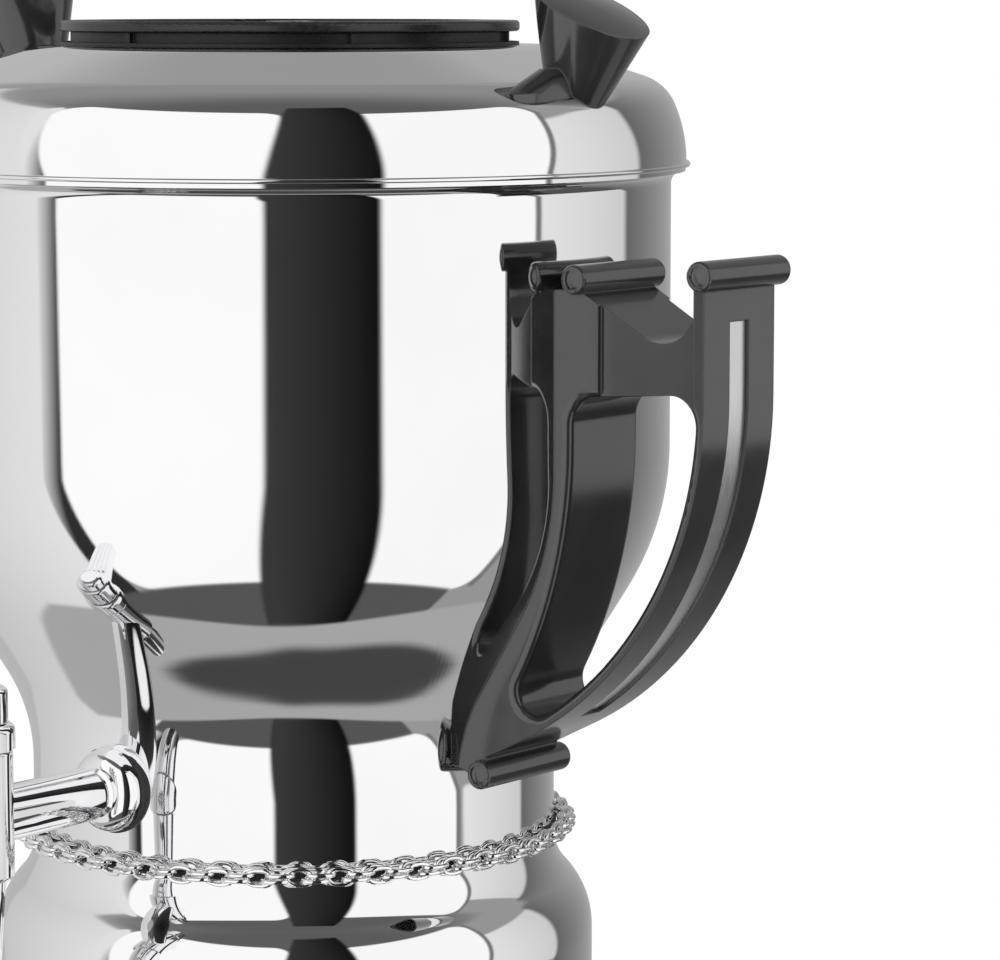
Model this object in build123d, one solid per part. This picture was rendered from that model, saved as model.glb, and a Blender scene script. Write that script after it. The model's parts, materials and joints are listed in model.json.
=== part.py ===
"""Electric samovar, three litre class, built as separate pieces in one shared frame.

Millimetres, +Z up, Z = 0 on the table, the body axis on Z. The tap faces -Y, the handles lie on +X and -X.
"""
import os
from math import acos, asin, atan2, cos, degrees, hypot, pi, radians, sin, sqrt, tan

from build123d import *

os.makedirs("parts", exist_ok=True)

# Water tank: a straight drum, a bowl that draws it in, and a narrow neck
DRUM_R = 95.0
DRUM_H = 69.3
NECK_R = 66.0
NECK_TOP = 142.2
TANK_WALL = 1.0
LIP_OUT = 3.6
LIP_CURL = 3.2
BOWL_CURVE = 68.8
NECK_CURVE = 46.0
BOWL_SLOPE = 31.8
SEAM_Z = 124.5
FLOOR_TOP = 129.5
FLOOR_THICK = 1.5

# Lid
LID_OUT = 3.8
LID_WALL = 1.0
LID_SIDE_CURVE = 36.9
LID_SIDE_TURN = 22.7
LID_SHOULDER_CURVE = 12.4
LID_SHOULDER_TURN = 49.1
LID_SEAT_OUT = 7.8
LID_HOLE_IN = 9.2
LID_BEAD = 0.6
PLUG_RING_GAP = 0.6
PLUG_RING_DEPTH = 8.0

# Steam regulator and teapot rest on the lid
REST_R = 57.2
REST_THICK = 2.7
REST_RIM = 9.0
REST_DISH = 1.0
REST_EDGE = 2.5
BARREL_IN = 2.9
BARREL_H = 3.4
FLANGE_THICK = 0.9
SPIGOT_DEPTH = 9.0
STEAM_WINDOWS = 6
STEAM_TURN = 27.3
WINDOW_IN = 18.0
WINDOW_LAND = 7.0
WINDOW_ARC = 26.0
PIVOT_R = 3.0
PIVOT_PLAY = 0.08

# Lid knobs: flared trumpets that lean outwards, each with one fin along the lid
KNOB_IN = 9.6
KNOB_TOP_R = 14.6
KNOB_TOP_OUT = 5.0
KNOB_TOP_UP = 16.9
KNOB_LEAN = 27.5
KNOB_DOME = 1.3
KNOB_LAND = 0.5
KNOB_WAIST_R = 10.0
KNOB_WAIST_OUT = 2.4
KNOB_WAIST_UP = 4.0
KNOB_ROOT_R = 6.0
KNOB_ROOT_DOWN = 7.0
KNOB_SEAT_DOWN = 4.9
FIN_REACH = 26.4
FIN_HALF = 4.6
FIN_DOWN = 2.5
FIN_UP = 3.2
FIN_CREST_R = 8.5
FIN_CREST_BACK = 3.5
FIN_ROOT = 9.0
FIN_DRAFT = 0.6

# Handles: an outer strap and an inner strap joined by a web, with a roll at each end
HANDLE_HALF = 14.0
STRAP_OUT = 41.9
STRAP_THICK = 3.0
STRAP_CURVE = 93.5
STRAP_TAIL = 13.0
INNER_STRAP = 3.4
WEB_SIDE = 11.8
WEB_SUNK = 1.2
HAND_CURVE = 118.0
HAND_BEND_UP = 7.3
HAND_TOP_DOWN = 51.2
HAND_TOP_TILT = 4.5
HAND_CORNER = 7.0
HAND_BASE = 5.4
HAND_ROUND = 2.3
ROLL_R = 3.5
ROLL_HALF = 16.4
ROLL_EDGE = 0.9
ROLL_DOME_R = 2.4
ROLL_DOME = 0.8
OUTER_ROLL_IN = 0.2
OUTER_ROLL_DOWN = 21.0
INNER_ROLL_OUT = 5.9
INNER_ROLL_DOWN = 23.3
LOWER_ROLL_OUT = 6.8
LOWER_ROLL_UP = 5.3
TAIL_OUT = 0.8
TAIL_UP = 4.1
SADDLE_START = 2.2
SADDLE_DROP = 29.7
SADDLE_CURVE = 10.0
GROOVE_HALF = 3.8
GROOVE_DEPTH = 1.5
GROOVE_START = 11.0
GROOVE_SHORT = 6.4
INLAY_THICK = 0.6
INLAY_PLAY = 0.1
UPPER_SCREW_DOWN = 41.0
UPPER_SCREW_REACH = 12.0
LOWER_SCREW_UP = 8.3
LOWER_SCREW_REACH = 5.0
M4_R = 2.0
M4_HEAD_R = 4.0
M4_HEAD_H = 2.4
SEAL_R = 5.2
SEAL_THICK = 1.6

# Tap
TAP_Z = 143.0
TAP_OUT = 46.0
GASKET_R = 10.5
GASKET_THICK = 3.0
ROSETTE_R = 9.2
ROSETTE_H = 3.2
SHANK_R = 6.4
SHANK_NECK_R = 5.2
SHANK_NECK_LONG = 3.0
WATERWAY_R = 3.5
THREAD_R = 6.0
THREAD_PLAY = 0.3
THREAD_TIP_IN = 16.0
BARREL_WALL = 2.8
BARREL_UP = 17.0
BARREL_DOWN = 14.0
PLUG_R = 6.2
PLUG_PLAY = 0.06
SPOUT_DOWN = 35.0
SPOUT_WALL_TOP = 3.0
SPOUT_WALL_END = 1.4
SPOUT_BORE_R = 4.2
BONNET_H = 6.0
LEVER_REACH = 40.0
LEVER_THICK = 5.0

# Base casing
CASING_OUT = 9.8
CASING_WALL = 1.0
WAIST_CURVE = 15.3
SHOULDER_CURVE = 21.3
WAIST_END = 122.5
SKIRT_TOP = 45.0
SKIRT_OUT = 14.2
SKIRT_IN_CURVE = 18.0
SKIRT_OUT_CURVE = 8.0
CASING_FOOT = 15.0
COLLAR_PLAY = 0.3
COLLAR_TOP = 127.6

# Waist chain
CHAIN_Z = 125.0
CHAIN_OUT = 3.1
CHAIN_PAIRS = 45
CHAIN_WIRE = 1.0
CHAIN_WIDTH = 5.0
CHAIN_DOUBLE = 1.7
CHAIN_SLACK = 0.35

# Heater under the tank floor
PLATE_IN = 6.0
PLATE_THICK = 4.5
ELEMENT_IN = 18.0
ELEMENT_TUBE = 3.25
ELEMENT_SWEEP = 300.0
ELEMENT_LEG = 17.0
ELEMENT_BEND = 6.0
CUTOUT_R = 8.0
CUTOUT_H = 6.0
TIE_IN = 10.0
TIE_COUNT = 3

# Controls on the front of the casing
DIAL_Z = 70.0
DIAL_R = 17.0
DIAL_H = 13.0
DIAL_RUN = 0.5
BEZEL_R = 20.5
BEZEL_PROUD = 2.4
SPINDLE_R = 3.0
SPINDLE_PLAY = 0.05
BUSH_R = 5.0
THERMOSTAT_SIZE = (34.0, 16.0, 32.0)
LAMP_TURN = 26.0
LAMP_R = 4.0
LAMP_RIM = 1.2

# Power entry on the back of the casing
INLET_Z = 60.0
INLET_W = 33.0
INLET_H = 25.0
INLET_WELL_W = 24.6
INLET_WELL_H = 16.6
INLET_DEPTH = 18.0
INLET_WALL = 1.8
INLET_PROUD = 3.0
SWITCH_Z = 86.0
SWITCH_W = 25.0
SWITCH_H = 19.0
SWITCH_WELL_W = 20.0
SWITCH_WELL_H = 14.0
SWITCH_WALL = 1.1
ROCKER_TILT = 9.0
ROCKER_SUNK = 4.0
ROCKER_PIN_R = 1.2
ROCKER_PIN_PLAY = 0.06

# Base pan and the ring it stands on
PAN_FLOOR = 5.0
PAN_WALL = 2.0
PAN_PLUG = 6.0
PAN_PLAY = 0.4
VENTS = 10
FOOT_WIDTH = 16.0
FOOT_IN = 16.0
FOOT_SCREWS = 4
FOOT_SCREW_R = 1.75

# Derived places: the tank from the neck upwards
floor_under = FLOOR_TOP - FLOOR_THICK
skirt_in = NECK_R - TANK_WALL
collar_out = skirt_in - COLLAR_PLAY
bowl_turn = radians(BOWL_SLOPE)
slope_len = (DRUM_R - NECK_R - (BOWL_CURVE + NECK_CURVE) * (1 - cos(bowl_turn))) / sin(bowl_turn)
bowl_top = NECK_TOP + (BOWL_CURVE + NECK_CURVE) * sin(bowl_turn) + slope_len * cos(bowl_turn)
tank_top = bowl_top + DRUM_H
lip_r = DRUM_R + LIP_OUT

# Derived places: lid and regulator
lid_r = DRUM_R + LID_OUT
lid_seat_r = REST_R + LID_SEAT_OUT
lid_hole_r = REST_R - LID_HOLE_IN
barrel_r = REST_R - BARREL_IN
window_out = lid_hole_r - WINDOW_LAND
knob_x = lid_r - KNOB_IN

# Derived places: handles
strap_x = DRUM_R + STRAP_OUT
outer_roll = (strap_x - OUTER_ROLL_IN, tank_top - OUTER_ROLL_DOWN)
inner_roll = (DRUM_R + INNER_ROLL_OUT, tank_top - INNER_ROLL_DOWN)
lower_roll = (NECK_R + LOWER_ROLL_OUT, NECK_TOP + LOWER_ROLL_UP)
tail_end = (lower_roll[0] + TAIL_OUT, lower_roll[1] + TAIL_UP)
strap_lag = atan2(STRAP_TAIL, STRAP_CURVE)
strap_turn = acos((STRAP_CURVE - strap_x + tail_end[0]) / hypot(STRAP_CURVE, STRAP_TAIL)) - strap_lag
strap_bend_z = tail_end[1] + STRAP_CURVE * sin(strap_turn) + STRAP_TAIL * cos(strap_turn)
groove_top = outer_roll[1] - GROOVE_START
groove_turn = degrees(strap_turn) - GROOVE_SHORT
hand_top = tank_top - HAND_TOP_DOWN
hand_bend_z = bowl_top + HAND_BEND_UP
handle_screws_at = (
    (tank_top - UPPER_SCREW_DOWN, UPPER_SCREW_REACH),
    (NECK_TOP + LOWER_SCREW_UP, LOWER_SCREW_REACH),
)

# Derived places: tap
tap_y = NECK_R + TAP_OUT
tap_tip = NECK_R - THREAD_TIP_IN
barrel_out_r = PLUG_R + BARREL_WALL
barrel_top = TAP_Z + BARREL_UP
barrel_foot = TAP_Z - BARREL_DOWN
spout_end = TAP_Z - SPOUT_DOWN
tap_shank_start = NECK_R + GASKET_THICK + ROSETTE_H

# Derived places: base, heater and chain
casing_r = NECK_R + CASING_OUT
skirt_r = casing_r + SKIRT_OUT
foot_ring_r = skirt_r - FOOT_IN
plate_r = NECK_R - PLATE_IN
plate_under = floor_under - PLATE_THICK
element_r = plate_r - ELEMENT_IN
tie_r = plate_r - TIE_IN
chain_r = NECK_R + CHAIN_OUT
chain_pitch = pi * chain_r / CHAIN_PAIRS


def upright(face):
    """Stand a flat shape drawn as (distance from the axis, height) up in the XZ plane."""
    return Plane.XZ * face


def turned(edges):
    """Turn a closed outline round the body axis."""
    return revolve(upright(make_face(edges)), Axis.Z, 360)


def ring(outer, inner, low, high):
    """A plain ring or tube round the body axis."""
    return Pos(0, 0, low) * extrude(Circle(outer) - Circle(inner), high - low)


def disc(radius, low, high):
    return Pos(0, 0, low) * extrude(Circle(radius), high - low)


def box(x0, x1, y0, y1, z0, z1):
    return Pos((x0 + x1) / 2, (y0 + y1) / 2, (z0 + z1) / 2) * Box(x1 - x0, y1 - y0, z1 - z0)


def rod_y(radius, x, z, y0, y1):
    """A cylinder that runs along Y between two stations."""
    return Pos(x, (y0 + y1) / 2, z) * Rot(90, 0, 0) * Cylinder(radius, abs(y1 - y0))


def rod_x(radius, y, z, x0, x1):
    """A cylinder that runs along X between two stations."""
    return Pos((x0 + x1) / 2, y, z) * Rot(0, 90, 0) * Cylinder(radius, abs(x1 - x0))


def round_z(count, start=0.0):
    """Evenly spaced turns about the body axis."""
    return [Rot(0, 0, start + i * 360 / count) for i in range(count)]


def save(name, *solids):
    """Write one node. Pieces that repeat share the node as separate solids."""
    shape = solids[0] if len(solids) == 1 else Compound(children=list(solids))
    shape.label = name
    export_step(shape, f"parts/{name}.step")


# Water tank


def tank_wall_line(inset):
    """The tank's side from under the lip down to the seam, moved in by the inset."""
    side = Line((DRUM_R - inset, tank_top - 1 - LIP_CURL), (DRUM_R - inset, bowl_top))
    bowl = JernArc(side @ 1, side % 1, BOWL_CURVE - inset, -BOWL_SLOPE)
    slope = Line(bowl @ 1, (bowl @ 1) + (bowl % 1) * slope_len)
    fillet_in = JernArc(slope @ 1, slope % 1, NECK_CURVE + inset, BOWL_SLOPE)
    return [side, bowl, slope, fillet_in]


def tank_block(inset, low):
    """The full volume inside the tank's side, from a low plane to the lip."""
    wall = tank_wall_line(inset)
    start = wall[0] @ 0
    rest = Polyline(wall[-1] @ 1, (NECK_R - inset, low), (0, low), (0, tank_top), (start.X, tank_top), start)
    return turned(wall + [rest])


def water_tank():
    outer = tank_wall_line(0)
    inner = tank_wall_line(TANK_WALL)
    lip_z = tank_top - TANK_WALL
    curl_out = JernArc(outer[0] @ 0, (0, 1), LIP_CURL, -90)
    curl_in = JernArc(inner[0] @ 0, (0, 1), LIP_CURL + TANK_WALL, -90)
    lip = Polyline(curl_out @ 1, (lip_r, lip_z), (lip_r, tank_top), curl_in @ 1)
    foot = Polyline(
        outer[-1] @ 1,
        (NECK_R, SEAM_Z),
        (skirt_in, SEAM_Z),
        (skirt_in, floor_under),
        (0, floor_under),
        (0, FLOOR_TOP),
        (skirt_in, FLOOR_TOP),
        inner[-1] @ 1,
    )
    tank = turned(outer + inner + [curl_out, curl_in, lip, foot])
    tank -= rod_y(THREAD_R + THREAD_PLAY, 0, TAP_Z, -NECK_R - 20, 0)
    for z, _ in handle_screws_at:
        tank -= rod_x(M4_R + 0.2, 0, z, -DRUM_R - 5, DRUM_R + 5)
    for turn in round_z(TIE_COUNT, 30):
        tank -= turn * Pos(tie_r, 0, floor_under) * Cylinder(1.0, 1.2)
    return tank


# Lid


def lid_line(inset):
    """The lid's outside from its lower edge up to the flat seat, moved in by the inset."""
    side = JernArc((lid_r - inset, tank_top + 1), (0, 1), LID_SIDE_CURVE - inset, LID_SIDE_TURN)
    shoulder = JernArc(side @ 1, side % 1, LID_SHOULDER_CURVE - inset, LID_SHOULDER_TURN)
    start, way = shoulder @ 1, shoulder % 1
    edge = lid_seat_r - inset * tan(radians(90 - LID_SIDE_TURN - LID_SHOULDER_TURN) / 2)
    slope = Line(start, start + way * ((edge - start.X) / way.X))
    return [side, shoulder, slope]


lid_seat = (lid_line(0)[-1] @ 1).Y
lid_fall = tan(radians(90 - LID_SIDE_TURN - LID_SHOULDER_TURN))
knob_z = lid_seat - (knob_x - lid_seat_r) * lid_fall
knob_screw_seat = knob_z - KNOB_SEAT_DOWN
rest_under = lid_seat + BARREL_H
rest_top = rest_under + REST_THICK


def lid_block(inset=0.0):
    """The whole volume under the lid's outer face, or under its inner one."""
    line = lid_line(inset)
    top = line[-1] @ 1
    rest = Polyline(top, (0, top.Y), (0, tank_top), (lid_r - inset, tank_top), line[0] @ 0)
    return turned(line + [rest])


def lid_screw_place(side):
    return Pos(side * knob_x, 0, 0)


def lid():
    outer, inner = lid_line(0), lid_line(LID_WALL)
    hole = Polyline(outer[-1] @ 1, (lid_hole_r, lid_seat), (lid_hole_r, lid_seat - LID_WALL), inner[-1] @ 1)
    edge = Polyline(outer[0] @ 0, (lid_r, tank_top), (lid_r - LID_WALL, tank_top), inner[0] @ 0)
    shell = turned(outer + inner + [hole, edge])
    bead = turned([CenterArc((lid_r + 0.4, tank_top + LID_BEAD), LID_BEAD, 0, 360)])
    shell += bead
    for side in (-1, 1):
        shell -= lid_screw_place(side) * disc(M4_R + 0.2, lid_seat - 16, lid_seat)
    return shell


def lid_plug_ring():
    """The ring inside the lid that centres it in the tank mouth."""
    out = DRUM_R - TANK_WALL - PLUG_RING_GAP
    skirt = ring(out, out - LID_WALL, tank_top - PLUG_RING_DEPTH, tank_top + 1)
    flange = ring(lid_r - LID_WALL, out - LID_WALL, tank_top, tank_top + 1)
    return skirt + flange


def window(inner, outer, arc, low, high):
    """One curved steam window between two radii."""
    sector = ring(outer, inner, low, high)
    keep = Pos(0, 0, low) * extrude(
        make_face(
            Polyline(
                (0, 0),
                (2 * outer, -2 * outer * tan(radians(arc / 2))),
                (2 * outer, 2 * outer * tan(radians(arc / 2))),
                (0, 0),
            )
        ),
        high - low,
    )
    return sector & keep


def steam_collar():
    """The fixed lower half of the steam regulator, clamped through the lid."""
    collar = ring(REST_R - 0.1, lid_hole_r - 3, lid_seat, lid_seat + FLANGE_THICK)
    collar += ring(barrel_r, barrel_r - 3.2, lid_seat, rest_under)
    collar += ring(lid_hole_r - 0.4, lid_hole_r - 3, lid_seat - SPIGOT_DEPTH, lid_seat)
    plate = disc(lid_hole_r - 2, lid_seat, lid_seat + 1.6)
    for turn in round_z(STEAM_WINDOWS, STEAM_TURN + 360 / STEAM_WINDOWS / 2):
        plate -= turn * window(WINDOW_IN, window_out, WINDOW_ARC, lid_seat - 1, lid_seat + 3)
    collar += plate
    for turn in round_z(STEAM_WINDOWS, STEAM_TURN):
        collar += turn * box(barrel_r - 1, barrel_r + 1.2, -0.8, 0.8, lid_seat, rest_under)
    return collar - disc(PIVOT_R + PIVOT_PLAY, lid_seat - 1, lid_seat + 3)


def collar_nut():
    out = lid_hole_r + 4
    under = lid_seat - LID_WALL
    nut = ring(out, lid_hole_r - 0.4, under - 4, under)
    for turn in round_z(4, 45):
        nut -= turn * box(out - 2, out + 1, -3, 3, under - 5, under - 1.5)
    return nut


def teapot_rest():
    """The turning half of the regulator. A teapot stands on its rim."""
    rest = disc(REST_R, rest_under, rest_top)
    rest = fillet(rest.edges().filter_by(GeomType.CIRCLE), 0.9)
    rest -= disc(REST_R - REST_RIM, rest_top - REST_DISH, rest_top + 1)
    for turn in round_z(STEAM_WINDOWS, STEAM_TURN):
        rest -= turn * window(WINDOW_IN, window_out, WINDOW_ARC, rest_under - 1, rest_top + 1)
        notch = box(REST_R - REST_RIM - 1, REST_R - REST_EDGE, -1.5, 1.5, rest_top - REST_DISH, rest_top + 1)
        rest -= turn * notch
    rest += disc(7, lid_seat + 1.6, rest_under)
    return rest - disc(PIVOT_R + PIVOT_PLAY, lid_seat, rest_top + 1)


def regulator_pivot():
    top = rest_top - REST_DISH
    pin = disc(PIVOT_R, lid_seat - 2.5, top)
    pin += disc(6, top, top + 0.8)
    return pin + disc(5, lid_seat - 2.5, lid_seat)


def knob_section(x, z, lean, radius):
    """A circle across the knob, tipped outwards by the lean."""
    return Pos(x, 0, z) * Rot(0, lean, 0) * Circle(radius)


def knob_fin():
    """A thin fin that runs from the knob's root along the lid, one way only."""
    reach = (FIN_REACH + KNOB_ROOT_R - 1) / 2
    foot = Pos(knob_x, reach - FIN_REACH, knob_z - FIN_DOWN) * Ellipse(FIN_HALF, reach)
    crest = Pos(knob_x, -FIN_CREST_BACK, knob_z + FIN_UP) * Ellipse(FIN_HALF - FIN_DRAFT, FIN_CREST_R)
    return loft([foot, crest]) + Pos(0, 0, -FIN_ROOT) * extrude(foot, FIN_ROOT)


def knob_crown():
    """The low dome on the knob's face, set in from its edge by a narrow flat land."""
    crown_r = KNOB_TOP_R - KNOB_LAND
    ball_r = (crown_r ** 2 + KNOB_DOME ** 2) / (2 * KNOB_DOME)
    ball = Pos(0, 0, KNOB_DOME - ball_r) * Rot(90, 0, 0) * Sphere(ball_r)
    return ball & disc(crown_r, -KNOB_LAND / 2, KNOB_DOME + 1)


def lid_knob(side):
    root = knob_section(knob_x, knob_z - KNOB_ROOT_DOWN, 0, KNOB_ROOT_R)
    waist = knob_section(knob_x + KNOB_WAIST_OUT, knob_z + KNOB_WAIST_UP, KNOB_LEAN / 2, KNOB_WAIST_R)
    top = knob_section(knob_x + KNOB_TOP_OUT, knob_z + KNOB_TOP_UP, KNOB_LEAN, KNOB_TOP_R)
    knob = loft([root, waist, top])
    knob += Pos(knob_x + KNOB_TOP_OUT, 0, knob_z + KNOB_TOP_UP) * Rot(0, KNOB_LEAN, 0) * knob_crown()
    knob += knob_fin()
    knob -= lid_block()
    knob -= Pos(knob_x, 0, 0) * disc(M4_R - 0.2, knob_screw_seat - 1, knob_z + KNOB_WAIST_UP + 5)
    return knob if side > 0 else Rot(0, 0, 180) * knob


def lid_screw(side):
    seat = knob_screw_seat
    screw = disc(M4_R - 0.2, seat, knob_z + KNOB_WAIST_UP + 4) + disc(M4_HEAD_R, seat - M4_HEAD_H, seat)
    return lid_screw_place(side) * screw


def lid_screw_spacer(side):
    """A cupped washer that turns the sloping lid into a flat seat for the screw."""
    block = Pos(knob_x, 0, 0) * ring(5.0, M4_R, knob_screw_seat, lid_seat)
    spacer = block & lid_block(LID_WALL)
    return spacer if side > 0 else Rot(0, 0, 180) * spacer


# Handles


def strap_lines(inset, top, turn):
    """The outer strap's line, moved in by the inset, from a height down round part of its bend."""
    down = Line((strap_x - inset, top), (strap_x - inset, strap_bend_z))
    return [down, JernArc(down @ 1, down % 1, STRAP_CURVE - inset, -turn)]


def strap_band(near, far, top, turn):
    """The strip of the strap that lies between two depths under its outer face."""
    a, b = strap_lines(near, top, turn), strap_lines(far, top, turn)
    return make_face(a + b + [Line(a[0] @ 0, b[0] @ 0), Line(a[1] @ 1, b[1] @ 1)])


def slab(face, half):
    """Thicken a shape that stands in the XZ plane by the same amount each way along Y."""
    return extrude(upright(face), half, both=True)


def meet(first, first_r, second, second_r):
    """The lower point where two circles cross."""
    dx, dy = second[0] - first[0], second[1] - first[1]
    gap = sqrt(dx**2 + dy**2)
    along = (first_r**2 - second_r**2 + gap**2) / (2 * gap)
    off = sqrt(first_r**2 - along**2)
    x, y = first[0] + along * dx / gap, first[1] + along * dy / gap
    return (x + off * dy / gap, y - off * dx / gap)


def hand_hole():
    """The opening the fingers go through, closed at the bottom by an arc that runs into both straps."""
    strap_c = (strap_x - STRAP_CURVE, strap_bend_z)
    left_x = DRUM_R + INNER_STRAP
    left_c = (left_x - HAND_CURVE, hand_bend_z)
    strap_r = STRAP_CURVE - STRAP_THICK
    centre = meet(left_c, HAND_CURVE + HAND_BASE, strap_c, strap_r - HAND_BASE)
    right_turn = degrees(atan2(strap_c[1] - centre[1], centre[0] - strap_c[0]))
    left_turn = degrees(atan2(left_c[1] - centre[1], centre[0] - left_c[0]))
    climb = tan(radians(HAND_TOP_TILT))
    right_x = strap_x - STRAP_THICK
    above = hand_top + (right_x - left_x) * climb + 10
    up_turn = degrees(asin((above - strap_c[1]) / strap_r))
    right = CenterArc(strap_c, strap_r, -right_turn, right_turn + up_turn)
    left = JernArc((left_x, hand_bend_z), (0, -1), HAND_CURVE, -left_turn)
    base = ThreePointArc(left @ 1, (centre[0], centre[1] - HAND_BASE), right @ 0)
    face = make_face([right, left, base, Polyline(right @ 1, (left_x, above), left @ 0)])
    eaves, ridge = left_x - 10, right_x + 10
    roof_left, roof_right = hand_top - 10 * climb, hand_top + (ridge - left_x) * climb
    crest = above + 10
    face -= Polygon((eaves, roof_left), (ridge, roof_right), (ridge, crest), (eaves, crest), align=None)
    return fillet(face.vertices().sort_by(Axis.Y)[-2:], HAND_CORNER)


def handle_plate():
    """The side view of the handle without its rolls."""
    strap = strap_lines(0, outer_roll[1], degrees(strap_turn))
    tail = Line(strap[1] @ 1, tail_end)
    inner_x = strap_x - STRAP_THICK
    run = inner_x - inner_roll[0]
    saddle_top = inner_roll[1] - SADDLE_START
    saddle_low = saddle_top - run * tan(radians(SADDLE_DROP))
    rest = Polyline(
        tail @ 1,
        (lower_roll[0], lower_roll[1] - 2.0),
        (NECK_R, lower_roll[1] + 0.5),
        (NECK_R - 12, lower_roll[1] + 0.5),
        (NECK_R + 14, saddle_top - 1.5),
        (inner_roll[0], saddle_top),
        (inner_x, saddle_low),
        (inner_x, outer_roll[1]),
        strap[0] @ 0,
    )
    face = make_face(strap + [tail, rest])
    corner = face.vertices().sort_by(lambda v: abs(v.X - inner_x) + abs(v.Y - saddle_low))[0]
    return fillet(corner, SADDLE_CURVE)


def handle_roll(centre):
    """A round bar across the strap with a shallow button at each end."""
    x, z = centre
    roll = rod_y(ROLL_R, x, z, -ROLL_HALF, ROLL_HALF)
    roll = fillet(roll.edges().filter_by(GeomType.CIRCLE), ROLL_EDGE)
    ball_r = (ROLL_DOME_R**2 + ROLL_DOME**2) / (2 * ROLL_DOME)
    end = ROLL_HALF + ROLL_DOME
    for way in (-1, 1):
        ball = Pos(x, way * (end - ball_r), z) * Sphere(ball_r)
        roll += ball & rod_y(ROLL_DOME_R, x, z, way * (ROLL_HALF - 0.5), way * (end + 1))
    return roll


def web_recess(side):
    """The sunk panel on one face of the web between the two straps."""
    low, high = hand_top - HAND_CORNER, outer_roll[1] + 5
    near, far = HANDLE_HALF - WEB_SUNK, HANDLE_HALF + 1
    ys = sorted((side * near, side * far))
    return box(DRUM_R + WEB_SIDE, strap_x - STRAP_THICK, *ys, low, high)


def screw_core(z, reach):
    """The blind hole a tank screw cuts its thread in."""
    return rod_x(M4_R - 0.25, 0, z, 40, tank_outer_r(z) + reach)


def tank_outer_r(z):
    """Radius of the tank's outer face on the drum or in the neck curve."""
    if z >= bowl_top:
        return DRUM_R
    return NECK_R + NECK_CURVE - sqrt(NECK_CURVE**2 - (z - NECK_TOP) ** 2)


def handle(side):
    plate = slab(handle_plate() - hand_hole(), HANDLE_HALF)
    flat = plate.edges().filter_by(lambda e: abs(abs(e.center().Y) - HANDLE_HALF) < 0.01)
    hole = flat.filter_by(lambda e: inside_hand(e.center()))
    plate = fillet(hole, HAND_ROUND)
    for way in (-1, 1):
        plate -= web_recess(way)
    for centre in (outer_roll, inner_roll, lower_roll):
        plate += handle_roll(centre)
    plate -= tank_block(0, lower_roll[1] - 20)
    plate -= slab(strap_band(-1, GROOVE_DEPTH, groove_top, groove_turn), GROOVE_HALF)
    for z, reach in handle_screws_at:
        plate -= screw_core(z, reach + 0.5)
    return plate if side > 0 else Rot(0, 0, 180) * plate


def inside_hand(point):
    """True for an edge that bounds the finger opening."""
    shape = hand_hole()
    here = Vector(point.X, point.Z, 0)
    return shape.distance_to(Vertex(here.X, here.Y, 0)) < 0.6


def handle_inlay(side):
    near = GROOVE_DEPTH - INLAY_THICK
    face = strap_band(near, GROOVE_DEPTH, groove_top - INLAY_PLAY, groove_turn - INLAY_PLAY)
    inlay = slab(face, GROOVE_HALF - INLAY_PLAY)
    return inlay if side > 0 else Rot(0, 0, 180) * inlay


def handle_screw(z, reach):
    wall = tank_outer_r(z) - TANK_WALL
    seat = wall - SEAL_THICK
    screw = rod_x(M4_R - 0.25, 0, z, seat, tank_outer_r(z) + reach)
    return screw + rod_x(M4_HEAD_R, 0, z, seat - M4_HEAD_H, seat)


def handle_seal(z):
    """A soft washer that follows the curve of the wall."""
    wall = tank_outer_r(z) - TANK_WALL
    blank = rod_x(SEAL_R, 0, z, wall - SEAL_THICK, wall + 2) - rod_x(M4_R, 0, z, wall - 5, wall + 5)
    return blank & tank_block(TANK_WALL, FLOOR_TOP)


def both_sides(make):
    """The same piece on +X and on -X."""
    return [make, Rot(0, 0, 180) * make]


# Tap


def spun_y(points, y0):
    """Turn an outline of (distance out from y0, radius) round the tap's horizontal axis."""
    face = make_face(Polyline(*[(r, d) for d, r in points], points[0][::-1]))
    solid = revolve(face, Axis.Y, 360)
    return Pos(0, -y0, TAP_Z) * Rot(180, 0, 0) * solid


def tap_gasket():
    front = NECK_R + GASKET_THICK
    blank = rod_y(GASKET_R, 0, TAP_Z, -front, -NECK_R + 8)
    blank = fillet(blank.edges().sort_by(Axis.Y)[0], 1.0)
    blank -= tank_block(0, SEAM_Z)
    return blank - rod_y(THREAD_R + THREAD_PLAY, 0, TAP_Z, -front - 1, 0)


def tap_rosette():
    front = NECK_R + GASKET_THICK
    dome = rod_y(ROSETTE_R, 0, TAP_Z, -front - ROSETTE_H, -front)
    dome = fillet(dome.edges().sort_by(Axis.Y)[0], 2.6)
    return dome - rod_y(THREAD_R + 0.1, 0, TAP_Z, -front - 10, 0)


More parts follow.
